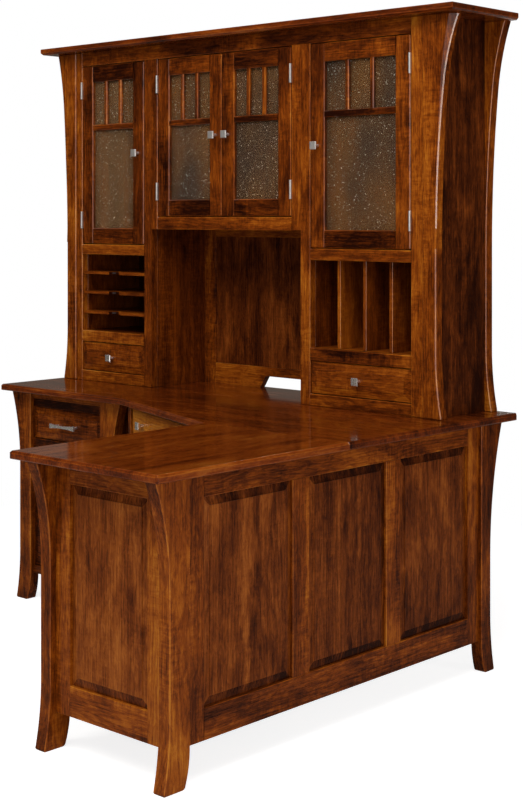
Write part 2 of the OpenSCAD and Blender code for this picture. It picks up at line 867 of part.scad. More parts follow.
module hutch_crown() color("#4d2112") {
    out = hutch_w / 2 + crown_side;
    y = post_front_y - crown_front;
    difference() {
        board([-out, out], [y, back], [crown_z, total_h]);
        edge_bevel([-out, y], [out, y], crown_z, crown_bevel, 1);
        edge_bevel([-out, back], [-out, y], crown_z, crown_bevel, 1);
        edge_bevel([out, y], [out, back], crown_z, crown_bevel, 1);
    }
}

// The posts' outward offset along the gentle sweep and the quick sweep above it
gentle_turn = asin(gentle_rise / gentle_r);
quick_turn = asin(sin(gentle_turn) + quick_rise / quick_r);

function post_sweep() = concat(
    [for (i = [0:sweep_n]) let (a = gentle_turn * i / sweep_n)
        [gentle_r * (1 - cos(a)), gentle_r * sin(a)]],
    [for (i = [1:sweep_n]) let (a = gentle_turn + (quick_turn - gentle_turn) * i / sweep_n)
        [gentle_r * (1 - cos(gentle_turn)) + quick_r * (cos(gentle_turn) - cos(a)),
            gentle_rise + quick_r * (sin(a) - sin(gentle_turn))]]
);

post_sweep_z = crown_z - gentle_rise - quick_rise;

// A post with its inner edge at x = 0 and its front face at y = 0
module post()
    translate([0, post_t, 0])
        rotate([90, 0, 0])
            linear_extrude(post_t)
                polygon(concat(
                    [[0, desk_h]],
                    [for (i = [sweep_n:-1:0])
                        let (p = sweep(post_foot_rise, post_foot, post_foot_rise)[i])
                        [post_w + p[0], desk_h + post_foot_rise - p[1]]],
                    [for (p = post_sweep()) [post_w + p[0], post_sweep_z + p[1]]],
                    [[0, crown_z]]
                ));

// Cutter for the bevel that widens with the flare along a post's front arris
module arris_cutter() {
    steps = post_sweep();
    n = len(steps);
    points = [for (i = [0:n - 1])
        let (x = post_w + steps[i][0])
        let (c = steps[i][0] * post_bevel_share)
        let (z = post_sweep_z + steps[i][1] + (i == n - 1 ? past : 0))
        each [[x - c - past, -past, z], [x + past, c + past, z], [x + past, -past, z]]];
    polyhedron(points, concat(
        [[0, 2, 1]],
        [[3 * n - 3, 3 * n - 2, 3 * n - 1]],
        [for (i = [0:n - 2]) for (k = [0:2])
            let (a = 3 * i + k)
            let (b = 3 * i + (k + 1) % 3)
            each [[a, b, b + 3], [a, b + 3, a + 3]]]
    ));
}

module hutch_front_posts() color("#7c3a1c")
    for (side = [0, 1])
        mirror([side, 0, 0])
            translate([post_x, post_front_y, 0])
                difference() {
                    post();
                    arris_cutter();
                }

module hutch_back_posts() color("#7c3a1c")
    for (side = [0, 1])
        mirror([side, 0, 0])
            translate([post_x, back - post_t, 0])
                post();

module hutch_sides() color("#5f2a14")
    for (side = [0, 1])
        mirror([side, 0, 0])
            board([slab_x, slab_x + side_t], [hutch_in_y, back - post_t], [desk_h, crown_z]);

module hutch_face_frame() color("#8a4420") {
    y = [hutch_face_y, hutch_in_y];
    z = [desk_h, head_z - glue_line];
    board([-post_x, x1], y, [desk_h, crown_z]);
    board([x8, post_x], y, [desk_h, crown_z]);
    board([x2, x3], y, z);
    board([x6, x7], y, z);
    board([x3 + glue_line, x4], y, [valance_z, z[1]]);
    board([x5, x6 - glue_line], y, [valance_z, z[1]]);
    board(between(x1, x8), y, [head_z, crown_z]);
    board(between(x4, x5), y, [valance_z, middle_door_z]);
    for (x = [between(x1, x2), between(x7, x8)]) {
        board(x, y, [desk_h, drawer_z]);
        board(x, y, [drawer_rail_z, cubby_z]);
        board(x, y, [tower_rail_z, tower_z]);
    }
}

module hutch_partitions() color("#7a3b1e")
    for (x = [x3 - partition_t, x6])
        board([x, x + partition_t], [hutch_in_y, backing_y], [desk_h, crown_z]);

// Boards level with the stiles' edges beside the drawers and the pigeonholes
module hutch_liners() color("#7a3b1e") {
    y = [hutch_in_y, backing_y];
    for (z = [[drawer_z, cubby_z - deck_t], [cubby_z, tower_z - deck_t]]) {
        board([x1 - liner_t, x1], y, z);
        board([x2, x3 - partition_t], y, z);
        board([x6 + partition_t, x7], y, z);
        board([x8, x8 + liner_t], y, z);
    }
}

// A tower deck from the outer slab to the partition, notched round the back post
module tower_deck(inner, z)
    difference() {
        board([inner, slab_x], [hutch_in_y, backing_y], [z - deck_t, z]);
        board([post_x, slab_x + past], [back - post_t, back], [z - deck_t - past, z + past]);
    }

module hutch_decks() color("#7a3b1e") {
    for (z = [drawer_z, cubby_z, tower_z]) {
        tower_deck(x6 + partition_t, z);
        mirror([1, 0, 0])
            tower_deck(partition_t - x3, z);
    }
    board([x3, x6], [hutch_in_y, backing_y], [middle_door_z - deck_t, middle_door_z]);
}

module pigeonhole_shelves() color("#7a3b1e")
    for (gap = bays(cubby_z, tower_rail_z, shelf_n + 1, shelf_t))
        if (gap[1] < tower_rail_z - past)
            difference() {
                board([x1, x2], [hutch_face_y + shelf_in, backing_y], [gap[1], gap[1] + shelf_t]);
                translate([(x1 + x2) / 2, hutch_face_y + shelf_in, gap[1] - past])
                    cylinder(h = shelf_t + 2 * past, r = scoop_r, $fn = fine);
            }

module slot_dividers() color("#9c5327")
    for (gap = bays(x7, x8, divider_n + 1, divider_t))
        if (gap[1] < x8 - past)
            board([gap[1], gap[1] + divider_t], [hutch_in_y, backing_y], [cubby_z, tower_z - deck_t]);

// Right half of the cable notch's outline, from the desk's top up to its upper edge
function notch_side() =
    let (
        lean = atan2(notch_h, (notch_w - notch_top_w) / 2),
        middle = [notch_top_w / 2 - notch_r * tan(lean / 2), notch_h - notch_r]
    )
    concat(
        [[notch_w / 2, -past], [notch_w / 2, 0]],
        [for (i = [0:4]) let (a = 90 - lean * (4 - i) / 4)
            middle + notch_r * [cos(a), sin(a)]]
    );

// The cable notch, cut through everything behind the bay
module cable_notch() {
    half = notch_side();
    last = len(half) - 1;
    translate([notch_x, back + past, desk_h])
        rotate([90, 0, 0])
            linear_extrude(back - bay_frame_y + 2 * past)
                polygon(concat(half, [for (i = [last:-1:0]) [-half[i][0], half[i][1]]]));
}

// Stiles and rails on the bay's back, the lower rail with its cable notch
module bay_back_frame() color("#7a3b1e") {
    x = between(x3 + bay_stile_w, x6 - bay_stile_w);
    y = [bay_frame_y, backing_y];
    high = middle_door_z - deck_t;
    board([x3, x3 + bay_stile_w], y, [desk_h, high]);
    board([x6 - bay_stile_w, x6], y, [desk_h, high]);
    board(x, y, [high - bay_stile_w, high]);
    difference() {
        board(x, y, [desk_h, desk_h + bay_rail_h]);
        cable_notch();
    }
}

module bay_back_panel() color("#6e3318")
    board([x3 + bay_stile_w, x6 - bay_stile_w], [bay_frame_y + bay_panel_in, backing_y],
        [desk_h + bay_rail_h, middle_door_z - deck_t - bay_stile_w]);

module hutch_backing() color("#a58a68")
    difference() {
        board([-post_x, post_x], [backing_y, back], [desk_h, crown_z]);
        cable_notch();
    }

// Places a door's own frame: x from the hinge side across the opening, y inward
module hang_left(x)
    translate([x, hutch_face_y, 0])
        children();

module hang_right(x)
    translate([x, hutch_face_y, 0])
        mirror([1, 0, 0])
            children();

// The two heights of a door's hinges, at the middle of their barrels
function hinge_heights(low) = [low + door_gap + hinge_in, head_z - door_gap - hinge_in];

// A door's wooden frame for an opening w wide, from a height up to the head rail
module door_frame(w, low, free_gap) {
    x = [door_gap, w - free_gap];
    in_x = [x[0] + door_stile_w, x[1] - door_stile_w];
    rail_x = between(in_x[0], in_x[1]);
    z = [low + door_gap, head_z - door_gap];
    in_z = [z[0] + door_low_rail_h, z[1] - door_top_rail_h];
    bar_z = in_z[1] - lite_h - bar_h;
    difference() {
        union() {
            board([x[0], in_x[0]], [0, door_t], z);
            board([in_x[1], x[1]], [0, door_t], z);
            board(rail_x, [0, door_t], [z[0], in_z[0]]);
            board(rail_x, [0, door_t], [in_z[1], z[1]]);
        }
        board([in_x[0] - rabbet_w, in_x[1] + rabbet_w], [bar_t, door_t + past],
            [in_z[0] - rabbet_w, in_z[1] + rabbet_w]);
    }
    board(rail_x, [0, bar_t], [bar_z, bar_z + bar_h]);
    for (gap = bays(in_x[0], in_x[1], muntin_n + 1, muntin_w))
        if (gap[1] < in_x[1] - past)
            board([gap[1], gap[1] + muntin_w], [0, bar_t], between(bar_z + bar_h, in_z[1]));
}

module door_glass(w, low, free_gap) {
    reach = rabbet_w - glass_room;
    board([door_gap + door_stile_w - reach, w - free_gap - door_stile_w + reach],
        [bar_t, bar_t + glass_t],
        [low + door_gap + door_low_rail_h - reach, head_z - door_gap - door_top_rail_h + reach]);
}

// The moving leaves with their middle knuckles, and the knob
module door_hardware(w, low, free_gap) {
    for (z = hinge_heights(low))
        translate([0, 0, z]) {
            board([door_gap - leaf_t, door_gap], [0, leaf_d], [-barrel_l / 2, barrel_l / 2]);
            difference() {
                union() {
                    middle_knuckle(barrel_r);
                    board([door_gap - leaf_t, door_gap], [axis_y, 0], [-middle_half, middle_half]);
                }
                middle_knuckle(pin_r + pin_play, past);
            }
        }
    translate([w - free_gap - door_stile_w / 2, 0, (low + head_z) / 2])
        knob();
}

middle_half = barrel_l / 4 - knuckle_gap;

module middle_knuckle(r, more = 0)
    translate([door_gap / 2, axis_y, -middle_half - more])
        cylinder(h = 2 * (middle_half + more), r = r, $fn = fine);

// The fixed leaves with their two end knuckles
module fixed_leaves(low)
    for (z = hinge_heights(low))
        translate([0, 0, z]) {
            board([0, leaf_t], [0, leaf_d], [-barrel_l / 2, barrel_l / 2]);
            difference() {
                for (side = [0, 1])
                    mirror([0, 0, side]) {
                        translate([door_gap / 2, axis_y, barrel_l / 4])
                            cylinder(h = barrel_l / 4, r = barrel_r, $fn = fine);
                        board([0, leaf_t], [axis_y, 0], [barrel_l / 4, barrel_l / 2]);
                    }
                translate([door_gap / 2, axis_y, -barrel_l / 2 - past])
                    cylinder(h = barrel_l + 2 * past, r = pin_r, $fn = fine);
            }
        }

module door_pins(low)
    for (z = hinge_heights(low))
        translate([door_gap / 2, axis_y, z - barrel_l / 2])
            cylinder(h = barrel_l, r = pin_r, $fn = fine);

module hinge_leaves() color("#b9b4aa") {
    hang_left(x1)
        fixed_leaves(tower_z);
    hang_left(x4)
        fixed_leaves(middle_door_z);
    hang_right(x5)
        fixed_leaves(middle_door_z);
    hang_right(x8)
        fixed_leaves(tower_z);
}

module hinge_pins() color("#9b978f") {
    hang_left(x1)
        door_pins(tower_z);
    hang_left(x4)
        door_pins(middle_door_z);
    hang_right(x5)
        door_pins(middle_door_z);
    hang_right(x8)
        door_pins(tower_z);
}

middle_w = middle_x - x4;

module left_door() color("#8a4420")
    hang_left(x1)
        door_frame(left_open_w, tower_z, door_gap);

module left_door_glass() color("#9a948c", 0.5)
    hang_left(x1)
        door_glass(left_open_w, tower_z, door_gap);

module left_door_hardware() color("#c4bfb5")
    hang_left(x1)
        door_hardware(left_open_w, tower_z, door_gap);

module mid_left_door() color("#8a4420")
    hang_left(x4)
        door_frame(middle_w, middle_door_z, door_gap / 2);

module mid_left_door_glass() color("#9a948c", 0.5)
    hang_left(x4)
        door_glass(middle_w, middle_door_z, door_gap / 2);

module mid_left_door_hardware() color("#c4bfb5")
    hang_left(x4)
        door_hardware(middle_w, middle_door_z, door_gap / 2);

module mid_right_door() color("#8a4420")
    hang_right(x5)
        door_frame(middle_w, middle_door_z, door_gap / 2);

module mid_right_door_glass() color("#9a948c", 0.5)
    hang_right(x5)
        door_glass(middle_w, middle_door_z, door_gap / 2);

module mid_right_door_hardware() color("#c4bfb5")
    hang_right(x5)
        door_hardware(middle_w, middle_door_z, door_gap / 2);

module right_door() color("#8a4420")
    hang_right(x8)
        door_frame(right_open_w, tower_z, door_gap);

module right_door_glass() color("#9a948c", 0.5)
    hang_right(x8)
        door_glass(right_open_w, tower_z, door_gap);

module right_door_hardware() color("#c4bfb5")
    hang_right(x8)
        door_hardware(right_open_w, tower_z, door_gap);

module hutch_left_drawer() color("#7a3318")
    at_hutch(x1, drawer_z)
        drawer(left_open_w, hutch_drawer_h, hutch_box_d);

module hutch_left_knob() color("#c4bfb5")
    at_hutch((x1 + x2) / 2, drawer_z + hutch_drawer_h / 2)
        knob();

module hutch_right_drawer() color("#7a3318")
    at_hutch(x7, drawer_z)
        drawer(right_open_w, hutch_drawer_h, hutch_box_d);

module hutch_right_knob() color("#c4bfb5")
    at_hutch((x7 + x8) / 2, drawer_z + hutch_drawer_h / 2)
        knob();

// The pull-out board, with a groove for the fingers under its front edge
module writing_board() color("#7a3318")
    at_wing(slide_z + slide_play)
        difference() {
            board([drawer_gap, file_w - drawer_gap], [-slide_proud, slide_d], [0, slide_t]);
            board([drawer_gap - past, file_w], [-slide_proud - past, -slide_proud / 2],
                [-past, slide_groove]);
        }

module wing_top_drawer() color("#7a3318")
    at_wing(top_z)
        drawer(file_w, small_h, pedestal_box_d);

module wing_top_pull() color("#c4bfb5")
    at_wing(top_z)
        translate([file_w / 2, 0, small_h / 2])
            pull();

module wing_middle_drawer() color("#7a3318")
    at_wing(middle_z)
        drawer(file_w, small_h, pedestal_box_d);

module wing_middle_pull() color("#c4bfb5")
    at_wing(middle_z)
        translate([file_w / 2, 0, small_h / 2])
            pull();

module wing_file_drawer() color("#7a3318")
    at_wing(file_z)
        drawer(file_w, file_h, pedestal_box_d);

module wing_file_pull() color("#c4bfb5")
    at_wing(file_z)
        translate([file_w / 2, 0, file_h / 2])
            pull();

module corner_drawer() color("#7a3318")
    at_corner(corner_end + corner_stile_w, corner_z)
        drawer(corner_w, corner_h, corner_box_d);

module corner_knobs() color("#c4bfb5")
    for (x = [corner_knob_in, corner_w - corner_knob_in])
        at_corner(corner_end + corner_stile_w + x, corner_z + corner_h / 2)
            knob();

module return_upper_drawer() color("#7a3318")
    at_return(upper_file_z)
        drawer(file_w, upper_file_h, pedestal_box_d);

module return_upper_pull() color("#c4bfb5")
    at_return(upper_file_z)
        translate([file_w / 2, 0, upper_file_h / 2])
            pull();

module return_lower_drawer() color("#7a3318")
    at_return(file_z)
        drawer(file_w, file_h, pedestal_box_d);

module return_lower_pull() color("#c4bfb5")
    at_return(file_z)
        translate([file_w / 2, 0, file_h / 2])
            pull();

main_top();
return_top();
return_legs();
back_right_leg();
wing_legs();
side_frame();
end_frame();
wing_side_frame();
raised_panels();
return_face_rails();
return_case();
wing_face_rails();
wing_case();
corner_frame();
desk_back_panel();
drawer_runners();
hutch_crown();
hutch_front_posts();
hutch_back_posts();
hutch_sides();
hutch_face_frame();
hutch_partitions();
hutch_liners();
hutch_decks();
pigeonhole_shelves();
slot_dividers();
bay_back_frame();
bay_back_panel();
hutch_backing();
hinge_leaves();
hinge_pins();
left_door();
left_door_glass();
left_door_hardware();
mid_left_door();
mid_left_door_glass();
mid_left_door_hardware();
mid_right_door();
mid_right_door_glass();
mid_right_door_hardware();
right_door();
right_door_glass();
right_door_hardware();
hutch_left_drawer();
hutch_left_knob();
hutch_right_drawer();
hutch_right_knob();
writing_board();
wing_top_drawer();
wing_top_pull();
wing_middle_drawer();
wing_middle_pull();
wing_file_drawer();
wing_file_pull();
corner_drawer();
corner_knobs();
return_upper_drawer();
return_upper_pull();
return_lower_drawer();
return_lower_pull();
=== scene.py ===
# %% [markdown]
# # A corner desk with a hutch, in stained cherry
# The desk is a cabinetmaker's piece: an L-shaped top with a diagonal across its inner corner,
# carried by panelled frames and legs that flare at top and foot, with a hutch standing along
# the back. Its shape comes from the solid model, which is loaded here as a fixed frame. What
# is left for this lesson is what the eye reads next: wood whose grain follows each board,
# arrises that are eased by hand, seeded glass, and satin metal.

import json
import math
import random

import bmesh
import bpy
import numpy as np
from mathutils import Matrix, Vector
from mathutils.bvhtree import BVHTree

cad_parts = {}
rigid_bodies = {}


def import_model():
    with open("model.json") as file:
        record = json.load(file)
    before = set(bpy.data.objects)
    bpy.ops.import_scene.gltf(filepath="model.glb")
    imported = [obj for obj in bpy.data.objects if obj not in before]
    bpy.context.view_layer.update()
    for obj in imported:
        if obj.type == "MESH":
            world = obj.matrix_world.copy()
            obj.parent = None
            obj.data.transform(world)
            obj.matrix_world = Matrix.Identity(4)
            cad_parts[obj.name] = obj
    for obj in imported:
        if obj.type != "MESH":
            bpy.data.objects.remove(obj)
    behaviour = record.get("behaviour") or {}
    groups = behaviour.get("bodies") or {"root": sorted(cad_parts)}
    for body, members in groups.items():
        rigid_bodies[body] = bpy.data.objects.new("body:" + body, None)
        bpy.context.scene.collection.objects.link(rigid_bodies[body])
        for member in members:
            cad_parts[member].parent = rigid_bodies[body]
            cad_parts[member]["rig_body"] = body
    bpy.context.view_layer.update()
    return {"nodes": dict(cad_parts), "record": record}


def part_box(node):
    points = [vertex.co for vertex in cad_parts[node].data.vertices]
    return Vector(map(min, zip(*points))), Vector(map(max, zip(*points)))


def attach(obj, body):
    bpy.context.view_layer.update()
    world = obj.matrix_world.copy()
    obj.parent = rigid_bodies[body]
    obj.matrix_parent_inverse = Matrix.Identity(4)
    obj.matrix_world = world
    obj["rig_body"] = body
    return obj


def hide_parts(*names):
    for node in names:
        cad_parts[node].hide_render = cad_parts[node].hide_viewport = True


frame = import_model()
nodes = frame["nodes"]
body_of_node = {name: solid["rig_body"] for name, solid in nodes.items()}
slot_of_node = {s["node"]: s["material_slot"] for s in frame["record"]["subparts"]}
print("slots", sorted(set(slot_of_node.values())))

# %% [markdown]
# ## The camera
# The photograph was taken from a little above the desk top, well to the right of the desk, with
# the camera held all but level. A level camera keeps upright lines upright, and the picture's
# middle was moved down afterwards, which is what a lens shift does. Such a camera could be set
# by eye, but a photograph's straight edges give its place, heading and focal length together,
# so the values below were solved from them. The focal length is in pixels of the picture, and
# it is turned into millimetres of a 36 mm high sensor.

# %% Place the camera
PICTURE = (523, 800)
FOCAL_PX = 1508.9
MIDDLE_PX = (266.4, 219.2)
SENSOR = 36.0
CAMERA_PLACE = (3.529, -3.192, 1.386)
CAMERA_TILT = -0.15
CAMERA_HEADING = 42.63
CAMERA_REACH = 60


def put(name, data):
    """A new object in the scene, at the origin."""
    item = bpy.data.objects.new(name, data)
    bpy.context.scene.collection.objects.link(item)
    return item


lens = bpy.data.cameras.new("photo_camera")
lens.sensor_fit = "VERTICAL"
lens.sensor_height = SENSOR
lens.lens = FOCAL_PX / PICTURE[1] * SENSOR
lens.shift_x = (PICTURE[0] / 2 - MIDDLE_PX[0]) / PICTURE[1]
lens.shift_y = -(PICTURE[1] / 2 - MIDDLE_PX[1]) / PICTURE[1]
lens.clip_end = CAMERA_REACH
camera = put("photo_camera", lens)
camera.location = CAMERA_PLACE
camera.rotation_euler = (math.radians(90 + CAMERA_TILT), 0, math.radians(CAMERA_HEADING))
bpy.context.scene.camera = camera
bpy.context.scene.view_settings.view_transform = "Standard"
print("lens %.1f mm, shift %.3f %.3f" % (lens.lens, lens.shift_x, lens.shift_y))

# %% [markdown]
# ## The studio
# Dark, glossy furniture is lit by large soft panels, because a lacquered board is a dull mirror:
# what it reflects is the shape of the lamp. Point lamps would put hard spots on it, and one
# bright sky would lay a grey veil over it. A broad panel at the right lights the long side, and
# a narrow strip further round is what the hutch posts' eased arrises mirror as a thin bright
# thread. A weak panel beside the camera opens the bay and the slots. Two high ones, at the
# front left and above, light the faces that look forward and the tops, and one behind the desk
# lights its back. The rest of the studio stays dim, so the wood keeps its deep colour.

# %% Lamps
WARM = (1.0, 0.96, 0.94)
GOLDEN = (1.0, 0.97, 0.92)
PALE = (1.0, 0.98, 0.96)
NEUTRAL = (1.0, 1.0, 1.0)


def panel_lamp(name, place, aim, width, height, strength, tint):
    """A soft panel at a place, turned towards an aim, with its strength per square metre."""
    data = bpy.data.lights.new(name, "AREA")
    data.shape = "RECTANGLE"
    data.size = width
    data.size_y = height
    data.energy = strength * width * height
    data.color = tint
    lamp = put(name, data)
    lamp.location = place
    look = Vector(aim) - Vector(place)
    lamp.rotation_euler = look.to_track_quat("-Z", "Y").to_euler()


# Name, place, aim, width, height, strength and tint.
panel_lamp("right_panel", (5.0, -2.3, 1.3), (0.6, 0.3, 0.9), 1.7, 2.3, 7.5, WARM)
panel_lamp("strip_panel", (4.9, 1.2, 1.45), (0.93, 0.5, 1.4), 0.3, 2.8, 34.0, WARM)
panel_lamp("camera_panel", (3.0, -4.3, 1.6), (0.0, 0.3, 1.2), 2.2, 2.4, 5.0, WARM)
panel_lamp("front_panel", (-0.5, -3.6, 4.6), (0.1, 0.2, 1.0), 2.4, 2.0, 18.0, GOLDEN)
panel_lamp("top_panel", (1.9, -1.7, 4.5), (0.4, 0.0, 0.7), 2.6, 2.2, 18.0, PALE)
panel_lamp("back_panel", (-0.4, 4.6, 0.9), (0.0, 0.7, 0.9), 2.2, 1.0, 24.0, NEUTRAL)

# %% [markdown]
# ## Node trees in a few words
# Every finish here is a tree of shader nodes. It could be wired by hand in the editor, but a
# script can give a dozen finishes the same tree with other values. These helpers add a node,
# wire two sockets, do a sum and spread one range of values over another. The last one lays a
# finished tree out in columns, so that it can be read in the editor.

# %% Helpers for node trees
COLUMN = 200
ROW = 180


def add(tree, kind, **settings):
    node = tree.nodes.new(kind)
    for key, value in settings.items():
        setattr(node, key, value)
    return node


def wire(tree, out_socket, in_socket):
    tree.links.new(out_socket, in_socket)


def maths(tree, operation, a, b=None, clamp=False):
    """One sum; a and b are sockets or plain numbers."""
    node = add(tree, "ShaderNodeMath", operation=operation, use_clamp=clamp)
    for socket, value in zip(node.inputs, (a, b)):
        if isinstance(value, (int, float)):
            socket.default_value = value
        elif value is not None:
            wire(tree, value, socket)
    return node.outputs[0]


def remap(tree, value, low, high, to_low=0.0, to_high=1.0):
    """Spreads the values from low to high over another range, and cuts off the rest."""
    node = add(tree, "ShaderNodeMapRange")
    wire(tree, value, node.inputs["Value"])
    node.inputs["From Min"].default_value = low
    node.inputs["From Max"].default_value = high
    node.inputs["To Min"].default_value = to_low
    node.inputs["To Max"].default_value = to_high
    return node.outputs["Result"]


def spread_out(tree, name):
    """Lays a tree out in columns from right to left, each node left of all that it feeds."""
    column = {node.name: 0 for node in tree.nodes}
    for _ in tree.nodes:
        for link in tree.links:
            source, target = link.from_node.name, link.to_node.name
            column[source] = max(column[source], column[target] + 1)
    filled = [0] * (max(column.values()) + 1)
    for node in tree.nodes:
        place = column[node.name]
        node.location = (-COLUMN * place, -ROW * filled[place])
        filled[place] += 1
    print("  %-22s nodes %3d" % (name, len(tree.nodes)))


# %% [markdown]
# ## The room
# The world does three jobs. It fills the shadows with an even light. It is plain white to the
# camera and to whatever is seen through glass. To a glossy surface it is a dim room, a little
# paler where the backdrop hangs behind the desk, since that is what such a studio looks like
# from the desk itself. Light Path tells the three kinds of ray apart.

# %% Helpers that mix shaders and colours
# A Mix node has like-named sockets for numbers, vectors and colours, so these go by place.
COLOUR_A = 6
COLOUR_B = 7
COLOUR_OUT = 2


def one_colour(tree, kind, colour, strength=None):
    """A shader of one kind, with its colour and strength on its own sockets."""
    node = add(tree, kind)
    node.inputs["Color"].default_value = (*colour, 1)
    if strength is not None:
        node.inputs["Strength"].default_value = strength
    return node.outputs[0]


def mix_shaders(tree, factor, first, second):
    node = add(tree, "ShaderNodeMixShader")
    for socket, value in zip(node.inputs, (factor, first, second)):
        wire(tree, value, socket)
    return node.outputs[0]


def mix_colours(tree, factor, first, second):
    """Either colour is a socket or three plain numbers."""
    node = add(tree, "ShaderNodeMix", data_type="RGBA")
    wire(tree, factor, node.inputs["Factor"])
    for index, colour in ((COLOUR_A, first), (COLOUR_B, second)):
        if isinstance(colour, tuple):
            node.inputs[index].default_value = (*colour, 1)
        else:
            wire(tree, colour, node.inputs[index])
    return node.outputs[COLOUR_OUT]


# %% The world: light for the object, plain white for the eye
WHITE = (1.0, 1.0, 1.0)
FILL_LIGHT = 0.07
FILL_COLOUR = (1.0, 0.985, 0.96)
ROOM_COLOUR = (0.036, 0.026, 0.018)
BACKDROP_COLOUR = (0.13, 0.11, 0.09)
BEHIND_DESK = (-0.677, 0.736, 0.0)
BACKDROP_EDGE = (0.55, 0.95)

world = bpy.data.worlds.new("studio_world")
bpy.context.scene.world = world
world.use_nodes = True
tree = world.node_tree
tree.nodes.clear()
path = add(tree, "ShaderNodeLightPath").outputs
direction = add(tree, "ShaderNodeTexCoord")
towards = add(tree, "ShaderNodeVectorMath", operation="DOT_PRODUCT")
wire(tree, direction.outputs["Generated"], towards.inputs[0])
towards.inputs[1].default_value = BEHIND_DESK
backdrop = remap(tree, towards.outputs["Value"], *BACKDROP_EDGE)
mirrored = add(tree, "ShaderNodeBackground")
wire(tree, mix_colours(tree, backdrop, ROOM_COLOUR, BACKDROP_COLOUR), mirrored.inputs["Color"])
fill = one_colour(tree, "ShaderNodeBackground", FILL_COLOUR, FILL_LIGHT)
on_desk = mix_shaders(tree, path["Is Glossy Ray"], fill, mirrored.outputs[0])
in_view = maths(tree, "MAXIMUM", path["Is Camera Ray"], path["Is Transmission Ray"])
plain = one_colour(tree, "ShaderNodeBackground", WHITE, 1.0)
world_out = add(tree, "ShaderNodeOutputWorld")
wire(tree, mix_shaders(tree, in_view, on_desk, plain), world_out.inputs["Surface"])
spread_out(tree, world.name)

# %% [markdown]
# The floor is plain and pale, so that it sends light up under the tops. To a glossy surface it is
# darker, or its mirror image would lie on the lacquer as a grey veil. For the camera it is paper
# lit to white, which takes the desk's soft shadow, and two metres out it fades into glowing
# white, so that no horizon shows. A floor that is only white would have to be lit much harder,
# and the desk with it.

# %% The floor
FLOOR_REACH = 14
FLOOR_CORNERS = [(-1, -1), (1, -1), (1, 1), (-1, 1)]
FLOOR_COLOUR = (0.82, 0.79, 0.76)
FLOOR_IN_LACQUER = (0.34, 0.29, 0.25)
PAPER_COLOUR = (0.60, 0.60, 0.60)
PAPER_GLOW = 0.82
PAPER_EDGE = (1.5, 2.6)

floor_mesh = bpy.data.meshes.new("studio_floor")
floor_points = [(x * FLOOR_REACH, y * FLOOR_REACH, 0) for x, y in FLOOR_CORNERS]
floor_mesh.from_pydata(floor_points, [], [(0, 1, 2, 3)])
floor = put("studio_floor", floor_mesh)
floor_paint = bpy.data.materials.new("studio_floor_paint")
floor_paint.use_nodes = True
tree = floor_paint.node_tree
tree.nodes.clear()
path = add(tree, "ShaderNodeLightPath").outputs
pale = one_colour(tree, "ShaderNodeBsdfDiffuse", FLOOR_COLOUR)
dark = one_colour(tree, "ShaderNodeBsdfDiffuse", FLOOR_IN_LACQUER)
on_desk = mix_shaders(tree, path["Is Glossy Ray"], pale, dark)
paper = add(tree, "ShaderNodeAddShader")
wire(tree, one_colour(tree, "ShaderNodeBsdfDiffuse", PAPER_COLOUR), paper.inputs[0])
wire(tree, one_colour(tree, "ShaderNodeEmission", WHITE, PAPER_GLOW), paper.inputs[1])
where = add(tree, "ShaderNodeTexCoord")
distance = add(tree, "ShaderNodeVectorMath", operation="LENGTH")
wire(tree, where.outputs["Object"], distance.inputs[0])
far = remap(tree, distance.outputs["Value"], *PAPER_EDGE)
glow = one_colour(tree, "ShaderNodeEmission", WHITE, 1.0)
to_camera = mix_shaders(tree, far, paper.outputs[0], glow)
floor_out = add(tree, "ShaderNodeOutputMaterial")
surface = mix_shaders(tree, path["Is Camera Ray"], on_desk, to_camera)
wire(tree, surface, floor_out.inputs["Surface"])
spread_out(tree, floor_paint.name)
floor_mesh.materials.append(floor_paint)

# %% [markdown]
# ## Boards, not blocks
# Wood is a bundle of fibres, and the eye knows which way they run: up a stile, along a rail,
# lengthways down a leg. A pattern laid over the whole desk at once would run straight through
# the joints, and unwrapping a few hundred boards by hand is a week's work. A rule does it here:
# each board gets its own coordinates, u along the fibres, v across the face and w through the
# thickness, in metres. The fibres follow a board's longest side, unless the piece says
# otherwise. The corner drawer and its frame stand on the diagonal, so their boards are turned
# square before they are measured.

# %% Where a board lies
MM = 0.001
X, Y, Z = 0, 1, 2
DIAGONAL_LEFT = (-0.238, 0.179)
DIAGONAL_RIGHT = (0.382, -0.053)
DIAGONAL = math.atan2(
    DIAGONAL_RIGHT[Y] - DIAGONAL_LEFT[Y], DIAGONAL_RIGHT[X] - DIAGONAL_LEFT[X]
)
ON_DIAGONAL = {"corner_frame", "corner_drawer"}


def swung(vectors, angle):
    """Points or directions, turned about the upright axis."""
    c, s = math.cos(angle), math.sin(angle)
    return vectors @ np.array([[c, -s, 0], [s, c, 0], [0, 0, 1]]).T


def squared(node, points):
    """A board's points, turned back square where its node stands on the diagonal."""
    return swung(points, -DIAGONAL) if node in ON_DIAGONAL else points


def board_axes(node, square, lay):
    """Directions of a board's fibres, width and thickness, from its squared points."""
    size = np.ptp(square, axis=0)
    order = sorted((X, Y, Z), key=lambda axis: -size[axis])
    if lay is not None:
        order.remove(lay)
        order.insert(0, lay)
    axes = np.eye(3)[order]
    return swung(axes, DIAGONAL) if node in ON_DIAGONAL else axes


print("the diagonal turns by %.1f degrees" % math.degrees(DIAGONAL))


# %% Find the boards of a node
def boards_of(bm):
    """The separate boards of a node, each as a list of its vertices."""
    met, boards = set(), []
    for first in bm.verts:
        if first.index in met:
            continue
        board, todo = [], [first]
        met.add(first.index)
        while todo:
            vert = todo.pop()
            board.append(vert)
            for edge in vert.link_edges:
                other = edge.other_vert(vert)
                if other.index not in met:
                    met.add(other.index)
                    todo.append(other)
        boards.append(board)
    return boards


